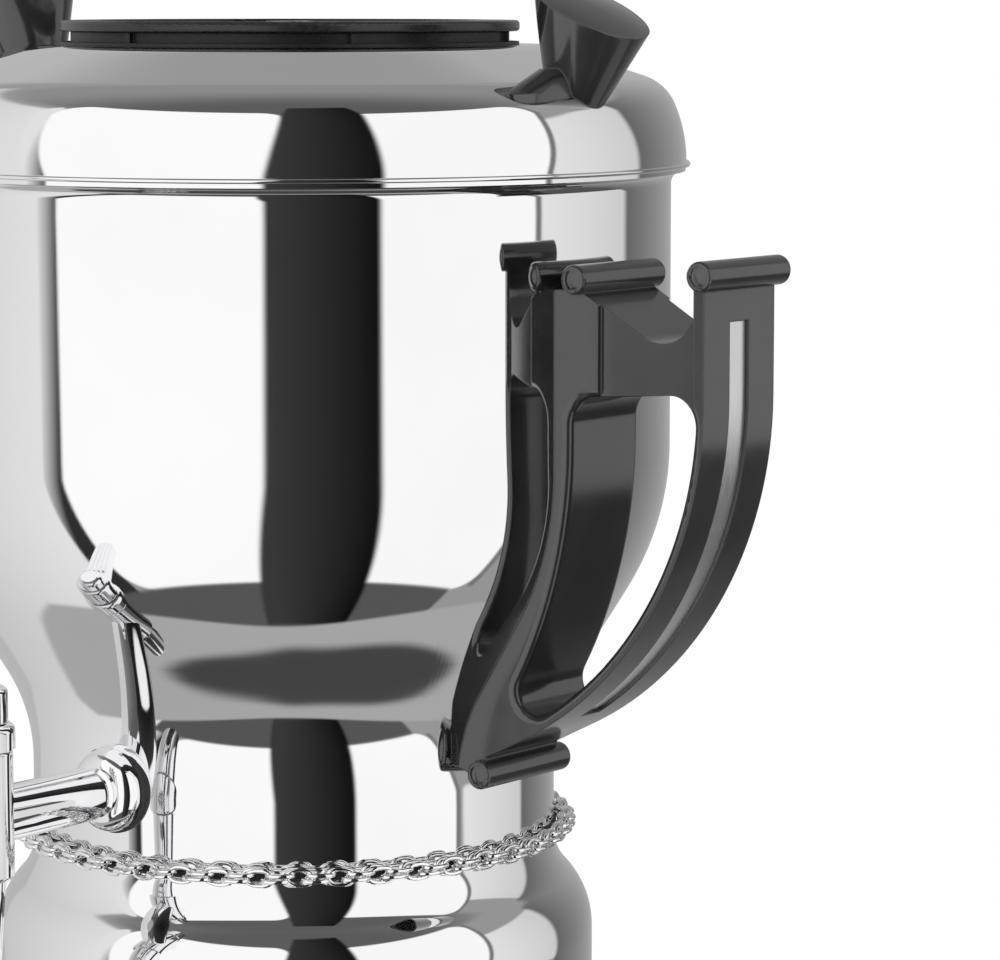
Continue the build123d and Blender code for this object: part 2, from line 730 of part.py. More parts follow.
def tap_body():
    start = tap_shank_start
    outline = [
        (0, 0),
        (0, THREAD_R),
        (start - tap_tip, THREAD_R),
        (start - tap_tip + 0.6, SHANK_NECK_R),
        (start - tap_tip + 1, SHANK_NECK_R),
        (start - tap_tip + SHANK_NECK_LONG, SHANK_R),
        (tap_y - tap_tip, SHANK_R + 0.3),
        (tap_y - tap_tip, 0),
    ]
    body = spun_y(outline, tap_tip)
    barrel = Pos(0, -tap_y, 0) * disc(barrel_out_r, barrel_foot, barrel_top)
    body += fillet(barrel.edges().filter_by(GeomType.CIRCLE), 1.2)
    spout = Pos(0, -tap_y, (barrel_foot + spout_end) / 2 + 1) * Cone(
        SPOUT_BORE_R + SPOUT_WALL_END, SPOUT_BORE_R + SPOUT_WALL_TOP, barrel_foot - spout_end + 2
    )
    body += spout
    body -= rod_y(WATERWAY_R, 0, TAP_Z, -tap_y, -tap_tip + 10)
    body -= Pos(0, -tap_y, 0) * disc(PLUG_R + PLUG_PLAY, barrel_foot + 2.5, barrel_top + 1)
    return body - Pos(0, -tap_y, 0) * disc(SPOUT_BORE_R, spout_end - 2, barrel_foot + 5)


def tap_plug():
    """The turning core. Its cross port meets the shank when the lever is swung a quarter turn."""
    foot = barrel_foot + 2.6
    plug = Pos(0, -tap_y, 0) * disc(PLUG_R, foot, barrel_top + 1.5)
    plug += Pos(0, -tap_y, 0) * disc(4.0, barrel_top + 1, barrel_top + BONNET_H + 7)
    plug -= Pos(0, -tap_y, 0) * disc(WATERWAY_R, foot - 1, TAP_Z + WATERWAY_R)
    plug -= rod_x(WATERWAY_R, -tap_y, TAP_Z, 0, PLUG_R + 1)
    for z in plug_seal_heights():
        plug -= Pos(0, -tap_y, 0) * ring(PLUG_R + 1, PLUG_R - 1.2, z - 0.9, z + 0.9)
    return plug - Pos(0, -tap_y, 0) * disc(1.3, barrel_top, barrel_top + BONNET_H + 8)


def plug_seal_heights():
    return (TAP_Z - 6.5, TAP_Z + 7.0, barrel_top - 4.0)


def plug_seal(z):
    return Pos(0, -tap_y, z) * Torus(PLUG_R - 0.57, 0.6)


def tap_bonnet():
    bonnet = Pos(0, -tap_y, 0) * disc(barrel_out_r + 0.6, barrel_top, barrel_top + BONNET_H)
    bonnet = fillet(bonnet.edges().filter_by(GeomType.CIRCLE).sort_by(Axis.Z)[-1], 2.0)
    bonnet -= Pos(0, -tap_y, 0) * disc(PLUG_R + 0.3, barrel_top - 1, barrel_top + 1.8)
    return bonnet - Pos(0, -tap_y, 0) * disc(4.0 + PLUG_PLAY, barrel_top, barrel_top + BONNET_H + 1)


def tap_lever():
    """A ridged grip that points straight out over the spout when the tap is shut."""
    low = barrel_top + BONNET_H + 0.4
    hub = Pos(0, -tap_y, 0) * disc(8.0, low, low + 8)
    hub = fillet(hub.edges().filter_by(GeomType.CIRCLE).sort_by(Axis.Z)[-1], 1.5)
    grip_end = tap_y + LEVER_REACH
    grip = box(-5.5, 5.5, -grip_end, -tap_y - 4, low + 1.5, low + 1.5 + LEVER_THICK)
    grip = fillet(grip.edges().filter_by(Axis.Z).sort_by(Axis.Y)[:2], 5.0)
    lever = hub + grip
    for x in (-3.4, -1.1, 1.2, 3.5):
        lever += box(x - 0.55, x + 0.55, -grip_end + 4, -tap_y - 9, low + 6, low + 7.3)
    lever -= Pos(0, -tap_y, 0) * disc(4.0 + PLUG_PLAY, low - 1, low + 6.6)
    return lever - Pos(0, -tap_y, 0) * disc(1.8, low, low + 9)


def lever_cap():
    low = barrel_top + BONNET_H + 8.4
    cap = Pos(0, -tap_y, 0) * disc(5.4, low, low + 3)
    cap = fillet(cap.edges().filter_by(GeomType.CIRCLE).sort_by(Axis.Z)[-1], 1.8)
    return cap + Pos(0, -tap_y, 0) * disc(1.3, low - 10, low)


def tap_inner_seal():
    inside = NECK_R - TANK_WALL
    blank = rod_y(9.6, 0, TAP_Z, -inside - 4, -inside + 3)
    blank -= rod_y(THREAD_R + THREAD_PLAY, 0, TAP_Z, -inside - 5, 0)
    return blank & tank_block(TANK_WALL, FLOOR_TOP)


def tap_nut():
    inside = NECK_R - TANK_WALL - 3
    across = 19.0
    hexagon = extrude(RegularPolygon(across / 2, 6, False), 6)
    nut = Pos(0, -inside, TAP_Z) * Rot(90, 0, 0) * Pos(0, 0, -6) * hexagon
    return nut - rod_y(THREAD_R, 0, TAP_Z, -inside - 1, -inside + 7)


def tap_strainer():
    """A pierced cap pushed over the inner end of the tap."""
    tip = -tap_tip
    cap = rod_y(THREAD_R + 1.6, 0, TAP_Z, tip - 4, tip + 7)
    cap -= rod_y(THREAD_R + 0.02, 0, TAP_Z, tip - 5, tip + 5.8)
    for x in (-4, 0, 4):
        for z in (-4, 0, 4):
            cap -= rod_y(1.1, x, TAP_Z + z, tip + 5, tip + 8)
    return cap


# Waist chain


def chain_link():
    """One doubled link, long along Y, seen face on from outside."""
    long = chain_pitch + 2 * CHAIN_WIRE + CHAIN_SLACK

    def loop(length, width):
        a, b = length / 2, width / 2
        lower = [(-a, -0.62 * b), (-0.6 * a, -b), (0.6 * a, -b), (a, -0.62 * b)]
        return Polygon(*lower, *[(-x, -y) for x, y in lower], align=None)

    flat = loop(long, CHAIN_WIDTH) - loop(long - 2 * CHAIN_WIRE, CHAIN_WIDTH - 2 * CHAIN_WIRE)
    return Plane.YZ * extrude(flat, CHAIN_DOUBLE / 2, both=True)


def waist_chain():
    link = chain_link()
    links = []
    for i in range(2 * CHAIN_PAIRS):
        twist = Pos(chain_r, 0, CHAIN_Z) * Rot(0, 90 * (i % 2), 0)
        links.append(Rot(0, 0, i * 360 / (2 * CHAIN_PAIRS)) * twist * link)
    return links


# Base casing


def ogee(start, first, second, step):
    """A double curve that leaves straight down, moves out by the step and ends straight down."""
    angle = degrees(acos(1 - step / (first + second)))
    lead = JernArc(start, (0, -1), first, angle)
    return [lead, JernArc(lead @ 1, lead % 1, second, -angle)]


def casing_line(inset):
    """The casing's side from the waist to its lower edge, moved in by the inset."""
    waist = ogee((NECK_R - inset, WAIST_END), WAIST_CURVE + inset, SHOULDER_CURVE - inset, casing_r - NECK_R)
    side = Line(waist[-1] @ 1, (casing_r - inset, SKIRT_TOP))
    skirt = ogee(side @ 1, SKIRT_IN_CURVE + inset, SKIRT_OUT_CURVE - inset, skirt_r - casing_r)
    hem = Line(skirt[-1] @ 1, (skirt_r - inset, CASING_FOOT))
    return waist + [side] + skirt + [hem]


def base_casing():
    outer, inner = casing_line(0), casing_line(CASING_WALL)
    collar_in = collar_out - CASING_WALL
    collar = Polyline(
        outer[0] @ 0,
        (NECK_R, SEAM_Z),
        (collar_out, SEAM_Z),
        (collar_out, COLLAR_TOP),
        (collar_in, COLLAR_TOP),
        (collar_in, WAIST_END),
        inner[0] @ 0,
    )
    hem = Line(outer[-1] @ 1, inner[-1] @ 1)
    casing = turned(outer + inner + [collar, hem])
    casing -= rod_y(BUSH_R + 0.3, 0, DIAL_Z, -casing_r - 5, -40)
    for turn in (-LAMP_TURN, LAMP_TURN):
        casing -= Rot(0, 0, turn) * rod_y(LAMP_R - 1 + 0.2, 0, DIAL_Z, -casing_r - 5, -60)
    casing -= wall_opening(INLET_WELL_W, INLET_WELL_H, INLET_Z, INLET_WALL + 0.2)
    casing -= wall_opening(SWITCH_WELL_W, SWITCH_WELL_H, SWITCH_Z, SWITCH_WALL + 0.2)
    return casing


def wall_opening(width, height, z, margin):
    """The cut in the back of the casing for a fitting's well."""
    w, h = width / 2 + margin, height / 2 + margin
    return box(-w, w, 40, 90, z - h, z + h)


def casing_drum():
    """The plain cylinder of the casing's side, used to shape what is fitted on it."""
    return disc(casing_r, SKIRT_TOP - 40, WAIST_END)


# Heater


def heater_plate():
    plate = disc(plate_r, plate_under, floor_under)
    for turn in round_z(TIE_COUNT, 30):
        plate -= turn * Pos(tie_r, 0, 0) * disc(1.6, plate_under - 1, plate_under + 3)
    return plate


def element_turn(side):
    """Angle of one end of the element's hoop, which stays open towards the front."""
    return -90 + side * (360 - ELEMENT_SWEEP) / 2


def element_bend(side):
    """One end of the hoop's line: the point, and the way on towards the gap."""
    turn = radians(element_turn(side))
    point = Vector(element_r * cos(turn), element_r * sin(turn), plate_under - ELEMENT_TUBE)
    return point, Vector(side * sin(turn), -side * cos(turn), 0)


def element_leg(side):
    """The line from the hoop's end round the bend and down to the cold end."""
    point, way = element_bend(side)
    down = Vector(0, 0, -1)
    half = sqrt(0.5)
    middle = point + way * (ELEMENT_BEND * half) + down * (ELEMENT_BEND * (1 - half))
    corner = point + (way + down) * ELEMENT_BEND
    bend = ThreePointArc(point, middle, corner)
    return [bend, Line(corner, point + way * ELEMENT_BEND + down * ELEMENT_LEG)]


def heating_element():
    """One bent tube: a hoop under the plate with both ends turned down."""
    z = plate_under - ELEMENT_TUBE
    hoop = Pos(0, 0, z) * CenterArc((0, 0), element_r, element_turn(1), ELEMENT_SWEEP)
    path = Wire([hoop.edge()] + [e.edge() for side in (1, -1) for e in element_leg(side)])
    point, way = element_bend(1)
    end = point + way * ELEMENT_BEND - Vector(0, 0, ELEMENT_LEG)
    return sweep(Pos(end.X, end.Y, end.Z) * Circle(ELEMENT_TUBE), path)


def element_ends():
    """Ceramic plug and blade at each cold end of the element."""
    ends = []
    for side in (1, -1):
        point, way = element_bend(side)
        foot = point + way * ELEMENT_BEND - Vector(0, 0, ELEMENT_LEG)
        plug = disc(ELEMENT_TUBE, -3, 0) + box(-3.1, 3.1, -0.4, 0.4, -11, -3)
        ends.append(Pos(foot.X, foot.Y, foot.Z) * plug)
    return ends


def dry_boil_cutout():
    can = disc(CUTOUT_R, plate_under - CUTOUT_H, plate_under)
    for x in (-4.5, 4.5):
        can += box(x - 0.4, x + 0.4, -3, 3, plate_under - CUTOUT_H - 8, plate_under - CUTOUT_H)
    return can


def tie_rod():
    return Pos(tie_r, 0, 0) * disc(1.6, 1.6, plate_under + 2.9)


def tie_nut():
    nut = extrude(RegularPolygon(3.5, 6, False), 2.6) - extrude(Circle(1.6), 2.6)
    return Pos(tie_r, 0, PAN_FLOOR - 2.6) * nut


# Controls


def dial_bezel():
    front = casing_r + BEZEL_PROUD
    plate = rod_y(BEZEL_R, 0, DIAL_Z, -front, -casing_r + 6)
    plate = fillet(plate.edges().sort_by(Axis.Y)[0], 0.9)
    plate -= casing_drum()
    return plate - rod_y(BUSH_R + 0.2, 0, DIAL_Z, -front - 1, -60)


def bush_nut():
    back = casing_r - CASING_WALL - 1.2
    blank = rod_y(8.0, 0, DIAL_Z, -back - 4, -back + 1.5)
    blank -= rod_y(BUSH_R, 0, DIAL_Z, -back - 5, -back + 5)
    return blank & disc(casing_r - CASING_WALL, 0, WAIST_END)


def thermostat():
    width, depth, height = THERMOSTAT_SIZE
    back = casing_r - CASING_WALL - 2.7
    body = box(-width / 2, width / 2, -back, -back + depth, DIAL_Z - height / 2, DIAL_Z + height / 2)
    body += rod_y(BUSH_R, 0, DIAL_Z, -casing_r - BEZEL_PROUD + 0.4, -back)
    body -= rod_y(SPINDLE_R + SPINDLE_PLAY, 0, DIAL_Z, -casing_r - 6, -back + 4)
    for x in (-10, 10):
        body += box(x - 3, x + 3, -back + depth, -back + depth + 8, DIAL_Z - 0.4, DIAL_Z + 0.4)
    return body


def thermostat_spindle():
    back = casing_r - CASING_WALL - 2.7
    return rod_y(SPINDLE_R, 0, DIAL_Z, -casing_r - BEZEL_PROUD - 10, -back + 3.7)


def thermostat_dial():
    """A round knob with a raised pointer bar across its face."""
    back = casing_r + BEZEL_PROUD + DIAL_RUN
    dial = rod_y(DIAL_R, 0, DIAL_Z, -back - 8, -back)
    dial = fillet(dial.edges().sort_by(Axis.Y)[0], 1.5)
    bar = box(-3, 3, -back - DIAL_H, -back - 7, DIAL_Z - DIAL_R + 2, DIAL_Z + DIAL_R - 2)
    bar = fillet(bar.edges().filter_by(Axis.Y), 2.0)
    dial += bar
    for i in range(24):
        notch = rod_y(0.8, 0, DIAL_R + 0.3, -back - 5, -back - 1)
        dial -= Pos(0, 0, DIAL_Z) * Rot(0, i * 15, 0) * notch
    return dial - rod_y(SPINDLE_R, 0, DIAL_Z, -back - 10.05, -back + 1)


def pilot_lamp(turn):
    lens = rod_y(LAMP_R, 0, DIAL_Z, -casing_r - LAMP_RIM - 1, -casing_r + 3)
    lens = fillet(lens.edges().sort_by(Axis.Y)[0], 1.6)
    lens -= casing_drum()
    lens += rod_y(LAMP_R - 1, 0, DIAL_Z, -casing_r - 0.5, -casing_r + 14)
    return Rot(0, 0, turn) * lens


# Power entry


def wall_plate(width, height, z, proud):
    """A rounded plate whose back follows the casing."""
    plate = box(-width / 2, width / 2, casing_r - 8, casing_r + proud, z - height / 2, z + height / 2)
    plate = fillet(plate.edges().filter_by(Axis.Y), 2.5)
    plate = fillet(plate.edges().sort_by(Axis.Y)[-8:], 0.7)
    return plate - casing_drum()


def appliance_inlet():
    plate = wall_plate(INLET_W, INLET_H, INLET_Z, INLET_PROUD)
    depth = casing_r + INLET_PROUD - INLET_DEPTH
    w, h = INLET_WELL_W / 2, INLET_WELL_H / 2
    out_w, out_h = w + INLET_WALL, h + INLET_WALL
    plate += box(-out_w, out_w, depth - 2, casing_r + 1, INLET_Z - out_h, INLET_Z + out_h)
    plate -= box(-w, w, depth, casing_r + 9, INLET_Z - h, INLET_Z + h)
    for x, z in inlet_pin_places():
        plate -= box(x - 1.0, x + 1.0, depth - 3, depth + 1, z - 2.0, z + 2.0)
    return plate


def inlet_pin_places():
    return ((-7.0, INLET_Z - 2.0), (0.0, INLET_Z + 2.0), (7.0, INLET_Z - 2.0))


def inlet_pin(x, z):
    depth = casing_r + INLET_PROUD - INLET_DEPTH
    pin = box(x - 1.0, x + 1.0, depth - 12, depth + 14, z - 2.0, z + 2.0)
    return chamfer(pin.edges().sort_by(Axis.Y)[-4:], 0.5)


def switch_frame():
    plate = wall_plate(SWITCH_W, SWITCH_H, SWITCH_Z, 2.4)
    w, h = SWITCH_WELL_W / 2, SWITCH_WELL_H / 2
    back = casing_r - 12
    out_w, out_h = w + SWITCH_WALL, h + SWITCH_WALL
    plate += box(-out_w, out_w, back - 1.5, casing_r + 1, SWITCH_Z - out_h, SWITCH_Z + out_h)
    plate -= box(-w, w, back, casing_r + 9, SWITCH_Z - h, SWITCH_Z + h)
    return plate - rod_x(ROCKER_PIN_R + ROCKER_PIN_PLAY, casing_r - ROCKER_SUNK, SWITCH_Z, -w - 0.8, w + 0.8)


def switch_rocker():
    """A bowed key, modelled pressed to its off side."""
    w, h = SWITCH_WELL_W / 2 - 0.5, SWITCH_WELL_H / 2 - 0.8
    pivot = casing_r - ROCKER_SUNK
    face = make_face(
        [
            Polyline((pivot + 5.4, -h), (pivot - 3, -h * 0.55), (pivot - 3, h * 0.55), (pivot + 5.4, h)),
            ThreePointArc((pivot + 5.4, -h), (pivot + 3.8, 0), (pivot + 5.4, h)),
        ]
    )
    key = extrude(Plane.YZ * face, w, both=True)
    pin_end = SWITCH_WELL_W / 2 + 0.7
    key += rod_x(ROCKER_PIN_R, pivot, 0, -pin_end, pin_end)
    return Pos(0, pivot, SWITCH_Z) * Rot(ROCKER_TILT, 0, 0) * Pos(0, -pivot, 0) * key


# Base pan and foot ring


def base_pan():
    pan = disc(skirt_r, PAN_FLOOR, CASING_FOOT)
    pan = fillet(pan.edges().filter_by(GeomType.CIRCLE).sort_by(Axis.Z)[0], 2.5)
    plug_out = skirt_r - CASING_WALL - PAN_PLAY
    pan += disc(plug_out, CASING_FOOT - 1, CASING_FOOT + PAN_PLUG)
    pan -= disc(plug_out - PAN_WALL, PAN_FLOOR + PAN_WALL, CASING_FOOT + PAN_PLUG + 1)
    for turn in round_z(VENTS):
        pan -= turn * box(20, 40, -2, 2, PAN_FLOOR - 1, PAN_FLOOR + PAN_WALL + 1)
    for turn in round_z(FOOT_SCREWS, 45):
        boss = Pos(foot_ring_r, 0, 0) * disc(5, PAN_FLOOR + PAN_WALL - 0.5, PAN_FLOOR + 9)
        pan += turn * boss
        pan -= turn * Pos(foot_ring_r, 0, 0) * disc(FOOT_SCREW_R, PAN_FLOOR - 1, PAN_FLOOR + 8)
    for turn in round_z(TIE_COUNT, 30):
        pan -= turn * Pos(tie_r, 0, 0) * disc(1.8, PAN_FLOOR - 1, PAN_FLOOR + PAN_WALL + 1)
    return pan


def foot_ring():
    """The soft ring the samovar stands on, pocketed for its screws."""
    pad = ring(foot_ring_r + FOOT_WIDTH / 2, foot_ring_r - FOOT_WIDTH / 2, 0, PAN_FLOOR)
    pad = fillet(pad.edges().group_by(Axis.Z)[0].filter_by(GeomType.CIRCLE), 0.8)
    for turn in round_z(FOOT_SCREWS, 45):
        pad -= turn * Pos(foot_ring_r, 0, 0) * disc(4.2, -1, 2.6)
        pad -= turn * Pos(foot_ring_r, 0, 0) * disc(FOOT_SCREW_R + 0.1, 0, PAN_FLOOR + 1)
    return pad


def foot_screw():
    screw = disc(FOOT_SCREW_R, 2.6, PAN_FLOOR + 7) + disc(3.4, 1.0, 2.6)
    return Pos(foot_ring_r, 0, 0) * screw


def terminal_block():
    low = PAN_FLOOR + PAN_WALL
    back = skirt_r - 38
    block = Pos(0, back, 0) * box(-14, 14, -5, 5, low, low + 11)
    for x in (-9, 0, 9):
        block -= Pos(x, back, 0) * disc(2.0, low + 5, low + 12)
    return block


def build():
    save("water_tank", water_tank())
    save("lid", lid())
    save("lid_plug_ring", lid_plug_ring())
    save("steam_collar", steam_collar())
    save("collar_nut", collar_nut())
    save("teapot_rest", teapot_rest())
    save("regulator_pivot", regulator_pivot())
    save("lid_knob_right", lid_knob(1))
    save("lid_knob_left", lid_knob(-1))
    save("lid_knob_screws", lid_screw(1), lid_screw(-1))
    save("lid_knob_spacers", lid_screw_spacer(1), lid_screw_spacer(-1))
    save("handle_right", handle(1))
    save("handle_left", handle(-1))
    save("handle_inlay_right", handle_inlay(1))
    save("handle_inlay_left", handle_inlay(-1))
    screws, seals = [], []
    for z, reach in handle_screws_at:
        screws += both_sides(handle_screw(z, reach))
        seals += both_sides(handle_seal(z))
    save("handle_screws", *screws)
    save("handle_seals", *seals)
    save("tap_gasket", tap_gasket())
    save("tap_rosette", tap_rosette())
    save("tap_body", tap_body())
    save("tap_plug", tap_plug())
    save("tap_plug_seals", *[plug_seal(z) for z in plug_seal_heights()])
    save("tap_bonnet", tap_bonnet())
    save("tap_lever", tap_lever())
    save("tap_lever_cap", lever_cap())
    save("tap_inner_seal", tap_inner_seal())
    save("tap_nut", tap_nut())
    save("tap_strainer", tap_strainer())
    save("waist_chain", *waist_chain())
    save("base_casing", base_casing())
    save("heater_plate", heater_plate())
    save("heating_element", heating_element())
    save("element_ends", *element_ends())
    save("dry_boil_cutout", dry_boil_cutout())
    save("tie_rods", *[turn * tie_rod() for turn in round_z(TIE_COUNT, 30)])
    save("tie_nuts", *[turn * tie_nut() for turn in round_z(TIE_COUNT, 30)])
    save("dial_bezel", dial_bezel())
    save("bush_nut", bush_nut())
    save("thermostat", thermostat())
    save("thermostat_spindle", thermostat_spindle())
    save("thermostat_dial", thermostat_dial())
    save("pilot_lamp_heat", pilot_lamp(-LAMP_TURN))
    save("pilot_lamp_ready", pilot_lamp(LAMP_TURN))
    save("appliance_inlet", appliance_inlet())
    save("inlet_pins", *[inlet_pin(x, z) for x, z in inlet_pin_places()])
    save("switch_frame", switch_frame())
    save("switch_rocker", switch_rocker())
    save("base_pan", base_pan())
    save("foot_ring", foot_ring())
    save("foot_screws", *[turn * foot_screw() for turn in round_z(FOOT_SCREWS, 45)])
    save("terminal_block", terminal_block())


build()
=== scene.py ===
import json
import math
import bmesh
import bpy
from mathutils import Matrix, Vector


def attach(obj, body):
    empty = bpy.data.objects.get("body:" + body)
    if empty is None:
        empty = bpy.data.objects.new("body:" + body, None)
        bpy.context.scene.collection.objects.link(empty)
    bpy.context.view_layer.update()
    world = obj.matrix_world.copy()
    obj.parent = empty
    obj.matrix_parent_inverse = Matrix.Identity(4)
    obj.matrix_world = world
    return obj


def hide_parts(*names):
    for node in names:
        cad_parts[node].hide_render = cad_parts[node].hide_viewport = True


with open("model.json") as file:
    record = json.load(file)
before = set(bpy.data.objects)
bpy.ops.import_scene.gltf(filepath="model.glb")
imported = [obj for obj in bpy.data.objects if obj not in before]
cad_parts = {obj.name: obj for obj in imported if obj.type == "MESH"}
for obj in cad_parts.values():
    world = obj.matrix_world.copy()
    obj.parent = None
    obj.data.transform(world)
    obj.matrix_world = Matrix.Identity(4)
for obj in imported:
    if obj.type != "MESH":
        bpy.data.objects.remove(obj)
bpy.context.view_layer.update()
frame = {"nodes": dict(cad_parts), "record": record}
nodes = frame["nodes"]
mm = 0.001
scene = bpy.context.scene
print("samovar frame loaded:", len(nodes), "nodes")


def addNode(tree, kind, **values):
    # a value goes to the socket of its name, or else to the node's own setting
    node = tree.nodes.new(kind)
    for name, value in values.items():
        if name in node.inputs.keys():
            node.inputs[name].default_value = value
        else:
            setattr(node, name, value)
    return node


def newMaterial(name):
    material = bpy.data.materials.new(name)
    material.use_nodes = True
    tree = material.node_tree
    return material, tree, tree.nodes["Principled BSDF"]


def placeObject(name, data):
    placed = bpy.data.objects.new(name, data)
    scene.collection.objects.link(placed)
    return placed


def objectCoords(tree, stretch=(1, 1, 1)):
    coords = addNode(tree, "ShaderNodeTexCoord")
    mapping = addNode(tree, "ShaderNodeMapping", Scale=stretch)
    tree.links.new(coords.outputs["Object"], mapping.inputs["Vector"])
    return mapping.outputs["Vector"]


def noiseFrom(tree, vector, scale, detail):
    noise = addNode(tree, "ShaderNodeTexNoise", Scale=scale, Detail=detail)
    tree.links.new(vector, noise.inputs["Vector"])
    return noise.outputs["Fac"]


# most of a noise's values lie in these spans
noiseUse = {"spreadEnds": (0.3, 0.7), "tintEnds": (0.35, 0.65)}


def spread(tree, value, low, high, ends=noiseUse["spreadEnds"]):
    # maps a value onto a range of roughness or strength
    node = addNode(tree, "ShaderNodeMapRange")
    for socket, limit in zip(("From Min", "From Max", "To Min", "To Max"), (*ends, low, high)):
        node.inputs[socket].default_value = limit
    tree.links.new(value, node.inputs["Value"])
    return node.outputs["Result"]


def tintBetween(tree, value, first, second):
    ramp = addNode(tree, "ShaderNodeValToRGB")
    for stop, end, tint in zip(ramp.color_ramp.elements, noiseUse["tintEnds"], (first, second)):
        stop.position = end
        stop.color = (*tint, 1)
    tree.links.new(value, ramp.inputs["Fac"])
    return ramp.outputs["Color"]


def softEdge(tree, radius):
    # takes the knife edge off a moulding, so that its corners catch the light
    return addNode(tree, "ShaderNodeBevel", samples=6, Radius=radius).outputs["Normal"]


def bumpFrom(tree, height, strength, distance, normal=None):
    bump = addNode(tree, "ShaderNodeBump", Strength=strength, Distance=distance)
    tree.links.new(height, bump.inputs["Height"])
    if normal:
        tree.links.new(normal, bump.inputs["Normal"])
    return bump.outputs["Normal"]


def dress(tree, shader, colour, roughness):
    tree.links.new(colour, shader.inputs["Base Color"])
    tree.links.new(roughness, shader.inputs["Roughness"])


polishSettings = {
    "pale": (0.90, 0.90, 0.905),
    "deep": (0.86, 0.86, 0.87),
    "rough": (0.025, 0.06),  # clean, and where hands have been
    "smear": (14, 4),
    "smearEnds": (0.45, 0.8),
    "ripple": (9, 1),
    "relief": (0.05, 0.0004),
}


def polishedSteel(name, settings):
    # buffed sheet steel: a mirror with faint smears where hands and cloths have been
    material, tree, shader = newMaterial(name)
    vector = objectCoords(tree)
    smear = noiseFrom(tree, vector, *settings["smear"])
    tint = tintBetween(tree, smear, settings["deep"], settings["pale"])
    dress(tree, shader, tint, spread(tree, smear, *settings["rough"], settings["smearEnds"]))
    shader.inputs["Metallic"].default_value = 1.0
    ripple = noiseFrom(tree, vector, *settings["ripple"])
    tree.links.new(bumpFrom(tree, ripple, *settings["relief"]), shader.inputs["Normal"])
    return material


phenolicSettings = {
    "dark": (0.019, 0.019, 0.020),
    "pale": (0.025, 0.025, 0.026),
    "rough": (0.13, 0.19),
    "haze": (70, 4),
    "waviness": (38, 2),
    "relief": (0.06, 0.0004),
    "edge": 0.0006,
    "sockets": {"IOR": 1.75, "Coat Weight": 0.3, "Coat Roughness": 0.06},
}


def blackPhenolic(name, settings):
    # pressed glossy black plastic of the handles and knobs
    material, tree, shader = newMaterial(name)
    vector = objectCoords(tree)
    haze = noiseFrom(tree, vector, *settings["haze"])
    tint = tintBetween(tree, haze, settings["dark"], settings["pale"])
    dress(tree, shader, tint, spread(tree, haze, *settings["rough"]))
    for socket, value in settings["sockets"].items():
        shader.inputs[socket].default_value = value
    waviness = noiseFrom(tree, vector, *settings["waviness"])
    normal = bumpFrom(tree, waviness, *settings["relief"], softEdge(tree, settings["edge"]))
    tree.links.new(normal, shader.inputs["Normal"])
    return material


metal = {"metallic": 1.0}
moulding = {"grain": (1400, 3), "relief": (0.06, 0.00005), "edge": 0.0004}  # fine spark-eroded grain
rubber = {"grain": (700, 4), "rough": (0.5, 0.75), "relief": (0.2, 0.0002)}
lens = {"grain": (500, 2), "rough": (0.05, 0.12), "coat": 0.5}
grainSettings = {
    "satinSteel": {  # drawn finish with fine lines round the part
        **metal,
        "stretch": (40, 40, 900),
        "grain": (3, 4),
        "dark": (0.55, 0.55, 0.56),
        "pale": (0.68, 0.68, 0.69),
        "rough": (0.22, 0.38),
        "relief": (0.12, 0.0001),
    },
    "platedChrome": {
        **metal,
        "grain": (60, 3),
        "dark": (0.88, 0.88, 0.89),
        "pale": (0.93, 0.93, 0.935),
        "rough": (0.03, 0.075),
        "relief": (0.04, 0.0001),
    },
    "brushedStrip": {  # bright strip brushed along its length, which spreads what it mirrors
        **metal,
        "stretch": (900, 900, 30),
        "grain": (2, 4),
        "dark": (0.86, 0.86, 0.87),
        "pale": (0.94, 0.94, 0.94),
        "rough": (0.3, 0.4),
        "relief": (0.05, 0.00005),
    },
    "machinedBrass": {
        **metal,
        "stretch": (1, 1, 8),
        "grain": (300, 3),
        "dark": (0.62, 0.44, 0.19),
        "pale": (0.76, 0.57, 0.28),
        "rough": (0.18, 0.34),
        "relief": (0.1, 0.0001),
    },
    "castAluminium": {
        **metal,
        "grain": (900, 4),
        "dark": (0.58, 0.58, 0.6),
        "pale": (0.7, 0.7, 0.72),
        "rough": (0.35, 0.5),
        "relief": (0.25, 0.0002),
    },
    "blackMoulding": {**moulding, "dark": (0.018,) * 3, "pale": (0.028,) * 3, "rough": (0.2975, 0.4025)},
    "satinBlack": {
        **moulding,
        "grain": (900, 3),
        "dark": (0.014,) * 3,
        "pale": (0.02,) * 3,
        "rough": (0.221, 0.299),
    },
    # steam collar: the black moulding made darker than the rest plate's; the extra darkness is painted shade
    # on its barrel
    "collarPaintedShade": {**moulding, "dark": (0.004,) * 3, "pale": (0.007,) * 3, "rough": (0.3825, 0.5175)},
    "paleSilicone": {**rubber, "dark": (0.55, 0.55, 0.53), "pale": (0.68, 0.68, 0.66)},
    "blackRubber": {**rubber, "dark": (0.018,) * 3, "pale": (0.035,) * 3},
    "whiteMoulding": {**rubber, "dark": (0.74, 0.74, 0.71), "pale": (0.82, 0.82, 0.79)},
    "redLens": {**lens, "dark": (0.42, 0.02, 0.015), "pale": (0.6, 0.04, 0.03)},
    "greenLens": {**lens, "dark": (0.02, 0.3, 0.07), "pale": (0.04, 0.45, 0.12)},
}


